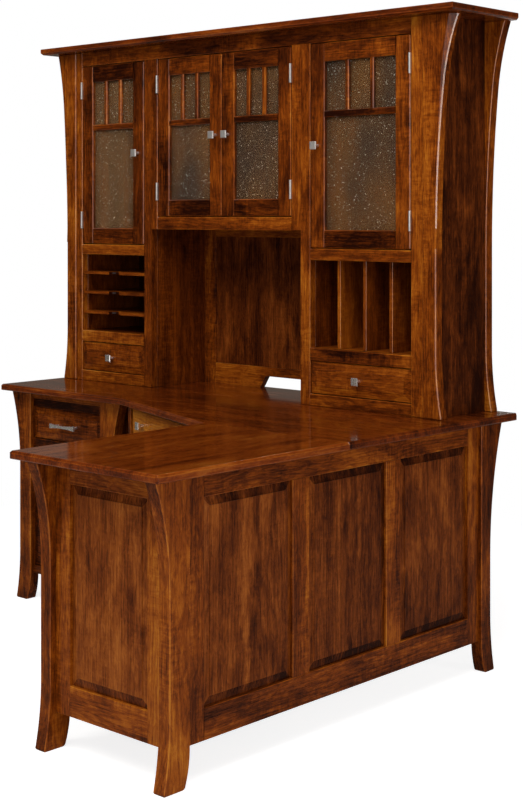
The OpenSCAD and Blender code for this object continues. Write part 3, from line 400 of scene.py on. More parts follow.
# %% [markdown]
# No two boards of a real desk match. Each is cut from its own place in an imaginary log, and each
# strays a little in tone from its piece. On top of that, light and shade are painted into some
# boards, as the photograph shows: level boards get a painted shade a step darker than upright
# ones, the rails at the bay's back get painted light instead, and the return's end panel, which
# faces the front lamps, gets painted light over those of the side. Painting the straying board by
# board would be slow, so dice with a fixed seed do it, in the same way each run. A drawer is one
# node with a stained front and an unstained box behind it. The front is its tallest board, so the
# others get the node's second finish.

# %% Mark the boards
# Where in its log a board may start: along it, across it and out from its heart, in metres.
LOG = ((-3, 3), (-0.12, 0.12), (0.03, 0.11))
STRAY = 0.6
# Level boards get painted shade; the bay's back rails and the return's end panel get painted light.
RAIL_PAINTED_SHADE = -0.5
RAIL_PAINTED_LIGHT_OF = {"bay_back_frame": 1.2}
END_PANEL_PAINTED_LIGHT = 0.8
LEVEL_BELOW = 0.5
SAME_HEIGHT = 0.01 * MM
BOX_FINISH = 1


def painted_light_of_place(node, points, axes, lay):
    """The painted light and shade that a board's place in the desk adds to its tone."""
    if lay is None and abs(axes[0][Z]) < LEVEL_BELOW:
        return RAIL_PAINTED_LIGHT_OF.get(node, RAIL_PAINTED_SHADE)
    if node == "raised_panels" and np.ptp(points[:, Y]) < np.ptp(points[:, X]):
        return END_PANEL_PAINTED_LIGHT
    return 0.0


def mark_boards(bm, node, lay, shade):
    """Stores each board's coordinates, tone with painted light and shade, and fibres; finds a
    drawer's box.
    """
    board_at = bm.verts.layers.float_vector.new("board")
    tone_at = bm.verts.layers.float.new("tone_and_shade")
    grain_at = bm.verts.layers.float_vector.new("grain")
    dice = random.Random("log of " + node)
    boards = boards_of(bm)
    placed = [np.array([vert.co for vert in board]) for board in boards]
    squares = [squared(node, points) for points in placed]
    heights = [np.ptp(square[:, Z]) for square in squares]
    for board, points, square, height in zip(boards, placed, squares, heights):
        axes = board_axes(node, square, lay)
        middle = (points.min(0) + points.max(0)) / 2
        log = Vector([dice.uniform(*span) for span in LOG])
        # A board's tone: a random stray, plus the node's shade and the painted light and shade of
        # its place.
        tone_and_shade = dice.uniform(-1, 1) * STRAY + shade + painted_light_of_place(node, points, axes, lay)
        flip = dice.choice((-1, 1))
        boxed = node.endswith("_drawer") and height <= max(heights) - SAME_HEIGHT
        for vert in board:
            along, across, through = axes @ (np.array(vert.co) - middle)
            vert[board_at] = Vector((flip * along, across, through)) + log
            vert[tone_at] = tone_and_shade
            vert[grain_at] = Vector(axes[0])
            if boxed:
                for face in vert.link_faces:
                    face.material_index = BOX_FINISH


# %% [markdown]
# A board's end soaks up stain and turns dark. So does any face that cuts across the fibres at a
# slant, such as the top bevel of a raised panel or the flare of a leg. There the darkening is made
# deeper still as painted shade, for the shadow that a rail or an overhang throws on them. An arris
# is sanded thin and turns light, and that lightening is also a painted highlight. Both could be
# painted as masks, but the faces themselves know what they are, so both are marked per face. The
# normals at each corner are weighed by the faces' areas among faces of the same sort, so a curved
# flare looks smooth, a broad face keeps its own flat normal up to its edge, and a chamfer stays
# crisp.

# %% Marks and normals
SLANT_FROM = 0.06
SLANT_SPAN = 0.25
SMOOTH = math.radians(40)
SMOOTH_ARRIS = math.radians(16)
AREA_POWER = 1.5


def vectors_of(data, name):
    """One property of many items, as rows of three numbers."""
    rows = np.zeros(len(data) * 3)
    data.foreach_get(name, rows)
    return rows.reshape(-1, 3)


def mark_faces(mesh, soft_faces):
    """Marks end grain and painted shade, by a face's lean along the fibres, and arrises."""
    normals = vectors_of(mesh.polygons, "normal")
    grain = vectors_of(mesh.attributes["grain"].data, "vector")
    first = np.array([mesh.loops[p.loop_start].vertex_index for p in mesh.polygons])
    lean = np.abs((normals * grain[first]).sum(1))
    # Faces that lean along the fibres darken: stain in end grain, and painted shade on slanted
    # faces.
    ends_and_shade = np.clip((lean - SLANT_FROM) / SLANT_SPAN, 0, 1).astype(np.float32)
    mesh.attributes.new("end_grain_and_shade", "FLOAT", "FACE").data.foreach_set("value", ends_and_shade)
    arris = np.zeros(len(mesh.polygons), np.float32)
    arris[list(soft_faces)] = 1
    mesh.attributes.new("arris", "FLOAT", "FACE").data.foreach_set("value", arris)
    mesh.attributes.remove(mesh.attributes["grain"])


def weigh_normals(mesh, soft_faces):
    """Gives each corner the mean normal of the like faces around it, weighed by their areas."""
    normals = [p.normal.copy() for p in mesh.polygons]
    areas = [p.area ** AREA_POWER for p in mesh.polygons]
    around = [[] for _ in mesh.vertices]
    for p in mesh.polygons:
        for v in p.vertices:
            around[v].append(p.index)
    mesh.polygons.foreach_set("use_smooth", [True] * len(mesh.polygons))
    split = []
    for p in mesh.polygons:
        own, soft = normals[p.index], p.index in soft_faces
        nearest = math.cos(SMOOTH_ARRIS if soft else SMOOTH)
        for v in p.vertices:
            total = Vector()
            for q in around[v]:
                if (q in soft_faces) == soft and normals[q].dot(own) > nearest:
                    total += normals[q] * areas[q]
            split.append(total.normalized() if total.length > 0 else own)
    mesh.normals_split_custom_set(split)


# %% [markdown]
# ## Arrises
# A maker takes a block plane to every outer edge that it can reach. A Bevel modifier would treat
# all edges alike, so each edge is asked first. A glued joint inside a frame stays sharp and
# shows as a hairline: there another board lies against the edge. An edge beside a narrow face,
# or beside one that runs out in a needle, stays sharp too, since a chamfer would eat the face up.

# %% Which edges a plane can reach
# A face has room if it is ROOM chamfers wide beside the edge, and widens by NEEDLE of its run.
SHARP = math.radians(24)
ROOM = 2.2
NEEDLE = 0.14
WIDE_OPEN = -0.3
JOINT = 0.7 * MM
JOINT_SEARCH = 0.9


def is_arris(edge):
    """True for a sharp edge that stands out."""
    if len(edge.link_faces) != 2 or edge.calc_face_angle(0) < SHARP:
        return False
    return edge.calc_face_angle_signed(0) >= 0


def has_room(edge, ease, room):
    """False beside a face that is too narrow, or a needle, at a corner that isn't wide open."""
    for face in edge.link_faces:
        loop = next(l for l in face.loops if l.edge == edge)
        a, b = loop.vert.co, loop.link_loop_next.vert.co
        along = (b - a).normalized()
        before = loop.link_loop_prev.vert.co - a
        after = loop.link_loop_next.link_loop_next.vert.co - b
        for side, way in ((before, along), (after, -along)):
            run = side.dot(way)
            across = (side - way * run).length
            tight = across < room * ease or across < NEEDLE * run
            if tight and run > WIDE_OPEN * side.length:
                return False
    return True


def at_joint(edge, surface):
    """True where another board lies against the edge."""
    middle = (edge.verts[0].co + edge.verts[1].co) / 2
    for face in edge.link_faces:
        probe = middle + face.normal * JOINT
        if surface.find_nearest(probe, JOINT * JOINT_SEARCH)[0] is not None:
            return True
    return False


# %% [markdown]
# A bevel runs down the outer arris of the hutch's front posts and tapers until it runs out. It
# is what carries the bright thread, so it must not break where it gets narrower than the
# chamfers beside it. It is kept a little wider there, and its last stretch counts as an arris.

# %% The tapered bevel of the hutch's front posts
# Level edges that run at 45 degrees across it are drawn out to TAPER_LEAST.
TAPERED = "hutch_front_posts"
TAPERED_ROOM = 1.1
TAPER_LEAST = 3.4 * MM
TAPER_END = 1.36
LEVEL = 0.01 * MM
NO_LENGTH = 0.001 * MM
OFF_DIAGONAL = 0.2
DIAGONAL_NORMAL = 0.707
ABOUT = 0.03
FORWARD = -0.6


def widen_taper(bm):
    """Keeps the bevel wide enough for its chamfer, down to where it runs out."""
    for edge in bm.edges:
        front, side = sorted(edge.verts, key=lambda v: v.co.y)
        span = side.co - front.co
        if abs(span.z) > LEVEL or not NO_LENGTH < span.length < TAPER_LEAST:
            continue
        if abs(abs(span.x) - abs(span.y)) > OFF_DIAGONAL * span.length:
            continue
        grow = (TAPER_LEAST - span.length) / math.sqrt(2)
        front.co.x -= math.copysign(grow, span.x)
        side.co.y += grow


def run_out(face):
    """True for the last stretch of the bevel."""
    x, y = abs(face.normal.x), face.normal.y
    diagonal = abs(x - DIAGONAL_NORMAL) < ABOUT and abs(y + DIAGONAL_NORMAL) < ABOUT
    return diagonal and face.calc_center_median().z < TAPER_END


def beside_taper(edge):
    """True between the post's face and the bevel, an arris that the maker leaves crisp."""
    return all(face.normal.y < FORWARD for face in edge.link_faces)


# %% [markdown]
# The solid model's meshes are loose triangles with knife-sharp corners. Each node is copied,
# merged and cleaned of the triangles' diagonals before its arrises are eased. The chamfer is one
# flat face, because a flat one mirrors a lamp over its whole width. The copy then stands for
# the node.

# %% Copy a node and ease its arrises
SAME_POINT = 0.002 * MM
FLAT = math.radians(0.25)


def merged(node):
    """A node's triangles as closed boards, without the diagonals across flat faces."""
    bm = bmesh.new()
    bm.from_mesh(nodes[node].data)
    bmesh.ops.remove_doubles(bm, verts=bm.verts, dist=SAME_POINT)
    bmesh.ops.dissolve_limit(
        bm, angle_limit=FLAT, use_dissolve_boundaries=False, verts=bm.verts, edges=bm.edges
    )
    bm.verts.index_update()
    bm.faces.index_update()
    return bm


def eased_copy(node, ease, lay=None, shade=0.0, segments=1):
    """A merged copy of a node with marked boards and eased arrises."""
    bm = merged(node)
    mark_boards(bm, node, lay, shade)
    tapered = node == TAPERED
    if tapered:
        widen_taper(bm)
        bm.normal_update()
    surface = BVHTree.FromBMesh(bm)
    room = TAPERED_ROOM if tapered else ROOM
    edges = [
        edge for edge in bm.edges
        if is_arris(edge) and not (tapered and beside_taper(edge))
        and has_room(edge, ease, room) and not at_joint(edge, surface)
    ]
    print("  %-22s chamfered arrises %5d" % (node, len(edges)))
    soft = bmesh.ops.bevel(
        bm, geom=edges, offset=ease, offset_type="OFFSET", segments=segments, profile=0.5,
        affect="EDGES", clamp_overlap=not tapered, material=-1,
    )["faces"]
    if tapered:
        bm.normal_update()
        soft += [face for face in bm.faces if run_out(face)]
    bm.faces.index_update()
    soft_faces = {face.index for face in soft}
    mesh = bpy.data.meshes.new(node + "_finished")
    bm.to_mesh(mesh)
    bm.free()
    mark_faces(mesh, soft_faces)
    weigh_normals(mesh, soft_faces)
    return put(node + "_finished", mesh)


# %% [markdown]
# ## The figure of cherry
# Cherry has fine, even growth rings, and once stained it shows blotches where the stain soaks in
# unevenly, and here and there a curl: short ripples across the board. A photograph of wood could
# be wrapped round each board, but it would repeat. The group below cuts each board out of an
# imaginary log instead: the rings are circles around the log's heart, bent by slow noise, so a
# wide board shows arches and a narrow one straight lines. Streaks and fibres are noise drawn
# out along the board, and the curl is noise drawn out across it, let through in patches. The
# group puts out plain numbers, and each finish decides what they do to its colour, gloss and
# relief.

# %% Helpers for groups, sums and noise
NOISE_MIDDLE = 0.5
NOISE_SPAN = (0.3, 0.7)


def new_group(name, inputs, outputs):
    """A node group; an input without a value is a vector, and all else are numbers."""
    group = bpy.data.node_groups.new(name, "ShaderNodeTree")
    for label, value in inputs.items():
        kind = "NodeSocketVector" if value is None else "NodeSocketFloat"
        socket = group.interface.new_socket(name=label, in_out="INPUT", socket_type=kind)
        if value is not None:
            socket.default_value = value
    for label in outputs:
        group.interface.new_socket(name=label, in_out="OUTPUT", socket_type="NodeSocketFloat")
    return group, add(group, "NodeGroupInput").outputs, add(group, "NodeGroupOutput").inputs


def times(tree, a, b):
    return maths(tree, "MULTIPLY", a, b)


def plus(tree, a, b):
    return maths(tree, "ADD", a, b)


def minus(tree, a, b):
    return maths(tree, "SUBTRACT", a, b)


def stretched_noise(tree, vector, scale, detail, rough, twist=0.0):
    """Noise with so many cycles per metre in each of three directions."""
    stretch = add(tree, "ShaderNodeVectorMath", operation="MULTIPLY")
    wire(tree, vector, stretch.inputs[0])
    stretch.inputs[1].default_value = scale
    noise = add(tree, "ShaderNodeTexNoise", noise_dimensions="3D")
    wire(tree, stretch.outputs[0], noise.inputs["Vector"])
    noise.inputs["Scale"].default_value = 1.0
    noise.inputs["Detail"].default_value = detail
    noise.inputs["Roughness"].default_value = rough
    noise.inputs["Distortion"].default_value = twist
    return noise.outputs["Fac"]


# %% The patterns of the figure
FIGURE = ("Rings", "Streaks", "Fibre", "Blotch", "Curl", "Pores")
RING_WIDTH = 9 * MM
WAVINESS = 0.03
# Cycles per metre along, across and through a board, then detail, roughness and distortion.
PATTERNS = {
    "drift": ((1.8, 7.0, 7.0), 2.0, 0.5, 0.0),
    "jitter": ((5.0, 40.0, 40.0), 3.0, 0.6, 0.0),
    "streaks": ((1.3, 26.0, 26.0), 4.0, 0.6, 0.3),
    "fibre": ((14.0, 400.0, 400.0), 4.0, 0.65, 0.0),
    "cloud": ((3.6, 9.0, 9.0), 3.0, 0.55, 0.9),
    "mottle": ((22.0, 60.0, 60.0), 5.0, 0.78, 1.2),
    "ripple": ((105.0, 20.0, 20.0), 2.0, 0.55, 0.7),
    "patch": ((3.2, 9.0, 9.0), 1.0, 0.5, 0.0),
    "pore": ((75.0, 1500.0, 1500.0), 1.0, 0.5, 0.0),
}
print("patterns", sorted(PATTERNS))

# %% [markdown]
# A ring is a year's growth: pale at first, darker towards its end, and then it breaks off
# sharply. So the distance from the log's heart is counted in years, and the fraction of a year
# gives the shade. The heart leans a little along the log, and the drift bends it, or the rings
# would be as straight as ruled lines.

# %% The cherry figure group
BEND_ACROSS = 2.0
BEND_THROUGH = 3.0
LOG_LEAN = 0.022
RING_JITTER = 2.4
LATE_WOOD = 2.0
RING_END = 0.82
CLOUD_PART = 0.75
MOTTLE_PART = 0.62
CURL_PATCH = (0.44, 0.62)
PORE_EDGE = (0.62, 0.74)

cherry_figure, given, result = new_group(
    "cherry_figure", {"Board": None, "Ring Width": RING_WIDTH, "Waviness": WAVINESS}, FIGURE
)
tree = cherry_figure
noise = {name: stretched_noise(tree, given["Board"], *row) for name, row in PATTERNS.items()}
parts = add(tree, "ShaderNodeSeparateXYZ")
wire(tree, given["Board"], parts.inputs[0])
drift = times(tree, minus(tree, noise["drift"], NOISE_MIDDLE), given["Waviness"])
leaning = times(tree, parts.outputs["X"], LOG_LEAN)
heart_v = plus(tree, parts.outputs["Y"], times(tree, drift, BEND_ACROSS))
heart_w = plus(tree, plus(tree, parts.outputs["Z"], leaning), times(tree, drift, BEND_THROUGH))
radius_squared = plus(tree, times(tree, heart_v, heart_v), times(tree, heart_w, heart_w))
years = maths(tree, "DIVIDE", maths(tree, "SQRT", radius_squared), given["Ring Width"])
years = plus(tree, years, times(tree, noise["jitter"], RING_JITTER))
year = maths(tree, "FRACT", years)
late = maths(tree, "POWER", year, LATE_WOOD)
fall = remap(tree, year, RING_END, 1.0, 1.0, 0.0)
cloud = times(tree, noise["cloud"], CLOUD_PART)
mottle = times(tree, noise["mottle"], MOTTLE_PART)
ripple = minus(tree, noise["ripple"], NOISE_MIDDLE)
patch = remap(tree, noise["patch"], *CURL_PATCH)
wire(tree, times(tree, late, fall), result["Rings"])
wire(tree, noise["streaks"], result["Streaks"])
wire(tree, noise["fibre"], result["Fibre"])
wire(tree, plus(tree, cloud, mottle), result["Blotch"])
wire(tree, times(tree, ripple, patch), result["Curl"])
wire(tree, remap(tree, noise["pore"], *PORE_EDGE), result["Pores"])
spread_out(tree, tree.name)

# %% [markdown]
# ## Stain, painted light and shade, and lacquer
# The maker stains the cherry dark and then lacquers it. The stain is thin on an eased arris,
# which shows lighter, and the lightening there is also a painted highlight. It is thick on end
# grain, which shows darker, and slanted faces get the same darkening as painted shade. Each part
# of the figure could have colours of its own, but stain is one liquid. So a second group mixes the
# figure's numbers into one depth of stain between 0 and 1, with each board's tone and its painted
# light and shade added in, and each finish turns that depth into its own range of browns.

# %% The stain group
# A part of the figure, its middle value, and how much of its swing shows in the stain.
SWINGS = {"Streaks": (0.5, 0.70), "Blotch": (0.685, 1.35), "Fibre": (0.5, 0.75)}
CURL_PART = 0.5
RING_PART = 0.17
PORE_PART = 0.16
# Eased arrises are lightened: the stain rubbed thin, and a painted highlight.
ARRIS_WEAR_AND_HIGHLIGHT = 0.22
MIDDLE_LIGHT = 0.55
PORE_DEPTH = 1.4

stain_depth, given, result = new_group(
    "stain_depth",
    {"Rings": 0.0, "Streaks": 0.5, "Fibre": 0.5, "Blotch": 0.5, "Curl": 0.0, "Pores": 0.0,
     "Tone": 0.0, "Tone Spread": 0.2, "Contrast": 1.0, "Curliness": 1.0,
     "End Grain and Shade": 0.0, "End and Shade Depth": 0.5, "Arris": 0.0},
    ("Light", "Relief"),
)
tree = stain_depth
swing = {label: times(tree, minus(tree, given[label], middle), part)
         for label, (middle, part) in SWINGS.items()}
curl = times(tree, given["Curl"], times(tree, given["Curliness"], CURL_PART))
broad = plus(tree, swing["Streaks"], swing["Blotch"])
figure = plus(tree, broad, plus(tree, swing["Fibre"], curl))
figure = minus(tree, figure, times(tree, given["Rings"], RING_PART))
figure = times(tree, figure, given["Contrast"])
# The board's tone carries its random stray and its painted light and shade.
tone_and_shade = times(tree, given["Tone"], given["Tone Spread"])
light = plus(tree, plus(tree, figure, tone_and_shade), MIDDLE_LIGHT)
light = minus(tree, light, times(tree, given["Pores"], PORE_PART))
# End grain darkens from stain, and slanted faces darken with it as painted shade.
light = minus(tree, light, times(tree, given["End Grain and Shade"], given["End and Shade Depth"]))
# Arrises lighten: the stain rubbed thin, and a painted highlight.
light = maths(tree, "ADD", light, times(tree, given["Arris"], ARRIS_WEAR_AND_HIGHLIGHT), clamp=True)
wire(tree, light, result["Light"])
wire(tree, minus(tree, given["Fibre"], times(tree, given["Pores"], PORE_DEPTH)), result["Relief"])
spread_out(tree, tree.name)

# %% [markdown]
# Lacquer is a clear coat over the stained wood. The shader's own Coat does that: the wood below
# is dull, with the fibres raised a fraction of a millimetre, and the coat above it is smooth.
# It gathers on the arrises, so that they shine more than the faces do. The tops are rubbed to
# the highest gloss and the insides to the least.

# %% Helpers for finishes
def new_finish(name):
    """A material, its node tree and its shader's sockets."""
    material = bpy.data.materials.new(name)
    material.use_nodes = True
    return material, material.node_tree, material.node_tree.nodes["Principled BSDF"].inputs


def colour_ramp(tree, factor, stops):
    """Stops are pairs of a position and a linear colour."""
    ramp = add(tree, "ShaderNodeValToRGB")
    points = ramp.color_ramp.elements
    while len(points) < len(stops):
        points.new(0.5)
    for point, (at, colour) in zip(points, stops):
        point.position = at
        point.color = (*colour, 1)
    wire(tree, factor, ramp.inputs["Fac"])
    return ramp.outputs["Color"]


def raise_relief(tree, height, normal, strength, distance):
    """Feeds a shader's Normal from a height."""
    bump = add(tree, "ShaderNodeBump")
    bump.inputs["Strength"].default_value = strength
    bump.inputs["Distance"].default_value = distance
    wire(tree, height, bump.inputs["Height"])
    wire(tree, bump.outputs["Normal"], normal)


def read_attribute(tree, name, output="Fac"):
    return add(tree, "ShaderNodeAttribute", attribute_name=name).outputs[output]


# %% A lacquered wood
TONE_SPREAD = 0.2
GRAIN_STRENGTH = 0.25
GRAIN_DEPTH = 0.4 * MM
GLOSS_RELIEF = (0.2, 0.8)
DULLER = 0.06
SHINIER = -0.04
WOOD_SPECULAR = 0.05
ARRIS_COAT = 0.9


def wood_finish(name, browns, contrast, curl=1.0, gloss=0.34, coat=0.34, coat_gloss=0.12, ends_and_shade=0.5):
    """A lacquered wood, with browns from dark to light, and gloss as the shader's roughness."""
    material, tree, shader = new_finish(name)
    figure = add(tree, "ShaderNodeGroup", node_tree=cherry_figure)
    figure.inputs["Ring Width"].default_value = RING_WIDTH
    figure.inputs["Waviness"].default_value = WAVINESS
    wire(tree, read_attribute(tree, "board", "Vector"), figure.inputs["Board"])
    stain = add(tree, "ShaderNodeGroup", node_tree=stain_depth)
    for label in FIGURE:
        wire(tree, figure.outputs[label], stain.inputs[label])
    arris = read_attribute(tree, "arris")
    wire(tree, read_attribute(tree, "tone_and_shade"), stain.inputs["Tone"])
    wire(tree, read_attribute(tree, "end_grain_and_shade"), stain.inputs["End Grain and Shade"])
    wire(tree, arris, stain.inputs["Arris"])
    stain.inputs["Tone Spread"].default_value = TONE_SPREAD
    stain.inputs["Contrast"].default_value = contrast
    stain.inputs["Curliness"].default_value = curl
    stain.inputs["End and Shade Depth"].default_value = ends_and_shade
    relief = stain.outputs["Relief"]
    wire(tree, colour_ramp(tree, stain.outputs["Light"], browns), shader["Base Color"])
    rough = remap(tree, relief, *GLOSS_RELIEF, gloss + DULLER, gloss + SHINIER)
    wire(tree, rough, shader["Roughness"])
    raise_relief(tree, relief, shader["Normal"], GRAIN_STRENGTH, GRAIN_DEPTH)
    shader["Specular IOR Level"].default_value = WOOD_SPECULAR
    wire(tree, remap(tree, arris, 0.0, 1.0, coat, max(coat, ARRIS_COAT)), shader["Coat Weight"])
    shader["Coat Roughness"].default_value = coat_gloss
    spread_out(tree, name)
    return material


# %% [markdown]
# The frames and drawer fronts are amber, the panels browner and the tops more ruby. All are
# cherry under a different stain, so they share one tree and differ in their browns. Drawer boxes
# and runners are unstained maple, and the hutch's back is stained birch plywood, its browns kept
# very dark as painted shade for the depth of the slots and cubbies.

# %% The finishes
CHERRY_STOPS = (0.06, 0.34, 0.54, 0.74, 0.96)
AMBER = list(zip(CHERRY_STOPS, (
    (0.016, 0.0026, 0.0006), (0.105, 0.0195, 0.0020), (0.228, 0.0475, 0.0034),
    (0.375, 0.0985, 0.0068), (0.520, 0.1850, 0.0160))))
BROWN = list(zip(CHERRY_STOPS, (
    (0.018, 0.0034, 0.0010), (0.096, 0.0195, 0.0032), (0.190, 0.0430, 0.0060),
    (0.305, 0.0810, 0.0110), (0.440, 0.1400, 0.0220))))
RUBY = list(zip(CHERRY_STOPS, (
    (0.020, 0.0030, 0.0007), (0.092, 0.0150, 0.0017), (0.175, 0.0290, 0.0026),
    (0.270, 0.0560, 0.0050), (0.360, 0.1050, 0.0130))))
MAPLE = [(0.10, (0.330, 0.200, 0.095)), (0.45, (0.500, 0.320, 0.165)),
         (0.90, (0.640, 0.450, 0.260))]
# Very dark browns for the backing: stain, and painted shade inside the slots and cubbies.
BIRCH_IN_SHADE = [(0.12, (0.014, 0.003, 0.0009)), (0.45, (0.046, 0.010, 0.0022)),
         (0.90, (0.130, 0.036, 0.008))]

finish = {
    # Each finish sets how dark its end grain goes, and that includes painted shade on slanted
    # faces.
    "frame_cherry": wood_finish("frame_cherry_lacquer", AMBER, 1.05, ends_and_shade=0.18),
    "panel_cherry": wood_finish("panel_cherry_lacquer", BROWN, 1.05, curl=0.4, coat=0.2),
    "top_cherry": wood_finish("top_cherry_lacquer", RUBY, 1.1, curl=0.3, gloss=0.28,
                              coat=0.9, coat_gloss=0.09, ends_and_shade=0.1),
    "drawer_cherry": wood_finish("drawer_cherry_lacquer", AMBER, 1.05, ends_and_shade=0.25),
    "inner_cherry": wood_finish("inner_cherry_lacquer", AMBER, 0.75, gloss=0.38, coat=0.3),
    "runner_maple": wood_finish("runner_maple_wax", MAPLE, 0.6, gloss=0.5, coat=0.0),
    "birch_ply": wood_finish("birch_ply_stain_and_shade", BIRCH_IN_SHADE, 0.6, gloss=0.45, coat=0.0),
}
drawer_box_finish = wood_finish("drawer_box_maple", MAPLE, 0.5, gloss=0.42, coat=0.2)
print("finishes", sorted(finish))

# %% [markdown]
# ## Dressing the boards
# Every wooden node is now copied, eased and finished. The ease differs: front posts are
# chamfered by three millimetres, doors and legs by a little less, a drawer front or shelf by
# one, and hidden parts hardly at all. A piece's finish is the one named after the slot that the
# record gives its node, apart from three pieces that look like what they join.

# %% Ease in millimetres, the way the fibres run, and shade, where minus is darker and some rows hold painted light and shade
WOOD = {
    "main_top": (0.8, X, -0.1),
    "return_top": (0.8, Y, 0.7),
    "hutch_crown": (1.5, X, -0.9),
    "return_legs": (2.4, Z, 0.4),
    "back_right_leg": (2.4, Z, -0.3),
    "wing_legs": (2.4, Z, 0.0),
    "side_frame": (1.5, None, -0.1),
    "end_frame": (1.5, None, 0.6),
    "wing_side_frame": (1.5, None, -0.3),
    "raised_panels": (0.8, Z, -0.6),
    "return_face_rails": (1.5, None, 0.0),
    "return_case": (0.6, None, 0.0),
    "wing_face_rails": (1.5, None, -0.4),
    "wing_case": (0.6, None, 0.0),
    "corner_frame": (1.5, None, -0.4),
    "desk_back_panel": (1.0, X, -0.3),
    "drawer_runners": (0.8, None, 0.0),
    "hutch_front_posts": (3.0, Z, 0.4),
    "hutch_back_posts": (2.0, Z, 0.3),
    # The hutch's side is painted dark, for the shade that the posts and crown throw on it.
    "hutch_sides": (0.5, Z, -1.0),
    "hutch_face_frame": (2.0, None, 0.0),
    # Partitions, liners, decks and shelves are painted darker, for the shade inside the slots and
    # cubbies.
    "hutch_partitions": (0.5, Z, -0.3),
    "hutch_liners": (0.6, None, -0.6),
    "hutch_decks": (0.6, X, -0.6),
    "pigeonhole_shelves": (1.5, X, -0.6),
    "slot_dividers": (1.0, Z, -0.2),
    "bay_back_frame": (0.4, None, -0.8),
    "bay_back_panel": (0.6, Z, -0.55),
    "hutch_backing": (0.4, Z, 0.0),
    "left_door": (2.6, None, -0.8),
    "mid_left_door": (2.6, None, -0.9),
    "mid_right_door": (2.6, None, -0.9),
    "right_door": (2.6, None, -1.1),
    "hutch_left_drawer": (1.2, None, 0.2),
    "hutch_right_drawer": (1.2, None, 0.7),
    "writing_board": (1.2, X, -0.3),
    "wing_top_drawer": (1.2, None, -0.3),
    "wing_middle_drawer": (1.2, None, -0.2),
    "wing_file_drawer": (1.2, None, -0.2),
    # The corner drawer is painted much lighter, for the light that falls on its diagonal front.
    "corner_drawer": (1.2, None, 2.4),
    "return_upper_drawer": (1.2, None, -0.1),
    "return_lower_drawer": (1.2, None, -0.1),
}
OTHER_FINISH = {
    "corner_frame": "frame_cherry",
    "bay_back_frame": "frame_cherry",
    "writing_board": "drawer_cherry",
}
print("wooden pieces", len(WOOD))

# %% Copy, ease and finish each of them
triangles = 0
for node, (ease, lay, shade) in WOOD.items():
    piece = eased_copy(node, ease * MM, lay, shade)
    piece.data.materials.append(finish[OTHER_FINISH.get(node, slot_of_node[node])])
    if node.endswith("_drawer"):
        piece.data.materials.append(drawer_box_finish)
    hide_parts(node)
    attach(piece, body_of_node[node])
    triangles += sum(len(p.vertices) - 2 for p in piece.data.polygons)
print("triangles of wood", triangles)

# %% [markdown]
# ## Satin nickel
# Knobs, pulls and hinges are brushed and plated. The metal is a warm grey mirror made dull by
# fine scratches. A flat grey of one roughness looks like paint, so the roughness follows the
# scratches, and slow clouds vary the grey. The pattern reads Object coordinates, since a
# casting has no grain.

# %% The metal finish
SCRATCHES = (1400.0, 1400.0, 160.0)
CLOUDS = (90.0, 90.0, 90.0)
TARNISH = 0.86
SCRATCH_STRENGTH = 0.12
SCRATCH_DEPTH = 0.1 * MM
POLISHED = -0.05
SCRATCHED = 0.08
METALLIC = 0.8
METAL_EASE = 0.35 * MM


def nickel_finish(name, tint, rough):
    material, tree, shader = new_finish(name)
    where = add(tree, "ShaderNodeTexCoord").outputs["Object"]
    scratch = stretched_noise(tree, where, SCRATCHES, 3.0, 0.6)
    cloud = stretched_noise(tree, where, CLOUDS, 3.0, 0.5)
    greys = zip(NOISE_SPAN, ([c * TARNISH for c in tint], tint))
    wire(tree, colour_ramp(tree, cloud, list(greys)), shader["Base Color"])
    duller = remap(tree, scratch, *NOISE_SPAN, rough + POLISHED, rough + SCRATCHED)
    wire(tree, duller, shader["Roughness"])
    raise_relief(tree, scratch, shader["Normal"], SCRATCH_STRENGTH, SCRATCH_DEPTH)
    shader["Metallic"].default_value = METALLIC
    spread_out(tree, name)
    return material


metal = {
    "satin_nickel": nickel_finish("satin_nickel_plate", (0.95, 0.92, 0.87), 0.22),
    "hinge_nickel": nickel_finish("hinge_nickel_plate", (0.88, 0.86, 0.83), 0.38),
}
METAL = [node for node, slot in slot_of_node.items() if slot in metal]
for node in METAL:
    piece = eased_copy(node, METAL_EASE, segments=2)
    piece.data.materials.append(metal[slot_of_node[node]])
    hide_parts(node)
    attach(piece, body_of_node[node])
print("metal pieces", sorted(METAL))

# %% [markdown]
# ## Seeded glass
# The lites are seeded glass: sheet glass with small air bubbles, the seeds, and a surface that
# is never quite flat. It is obscured a little, so what lies behind shows as a brown blur. The
# sheet could be clear, with a fog behind it, but a rough glass shader with a gentle wave gives
# the same blur from every side. Part of the light goes straight through it, which lets lamps
# reach the shelves behind. The left door's glass is paler than the others.

# %% The glass finish
GLASS = sorted(name for name in nodes if name.endswith("_glass"))
WAVES = (38.0, 38.0, 14.0)
PITS = (420.0, 420.0, 300.0)
MIST = (6.0, 6.0, 2.6)
PIT_PART = 0.06
SMOKE = [(0.35, (0.84, 0.43, 0.15)), (0.65, (0.34, 0.24, 0.16))]
PALER_SMOKE = (0.86, 0.50, 0.22)
LEFT_DOOR_END = (-0.56, -0.52)
WAVE_STRENGTH = 0.35
WAVE_DEPTH = 2 * MM

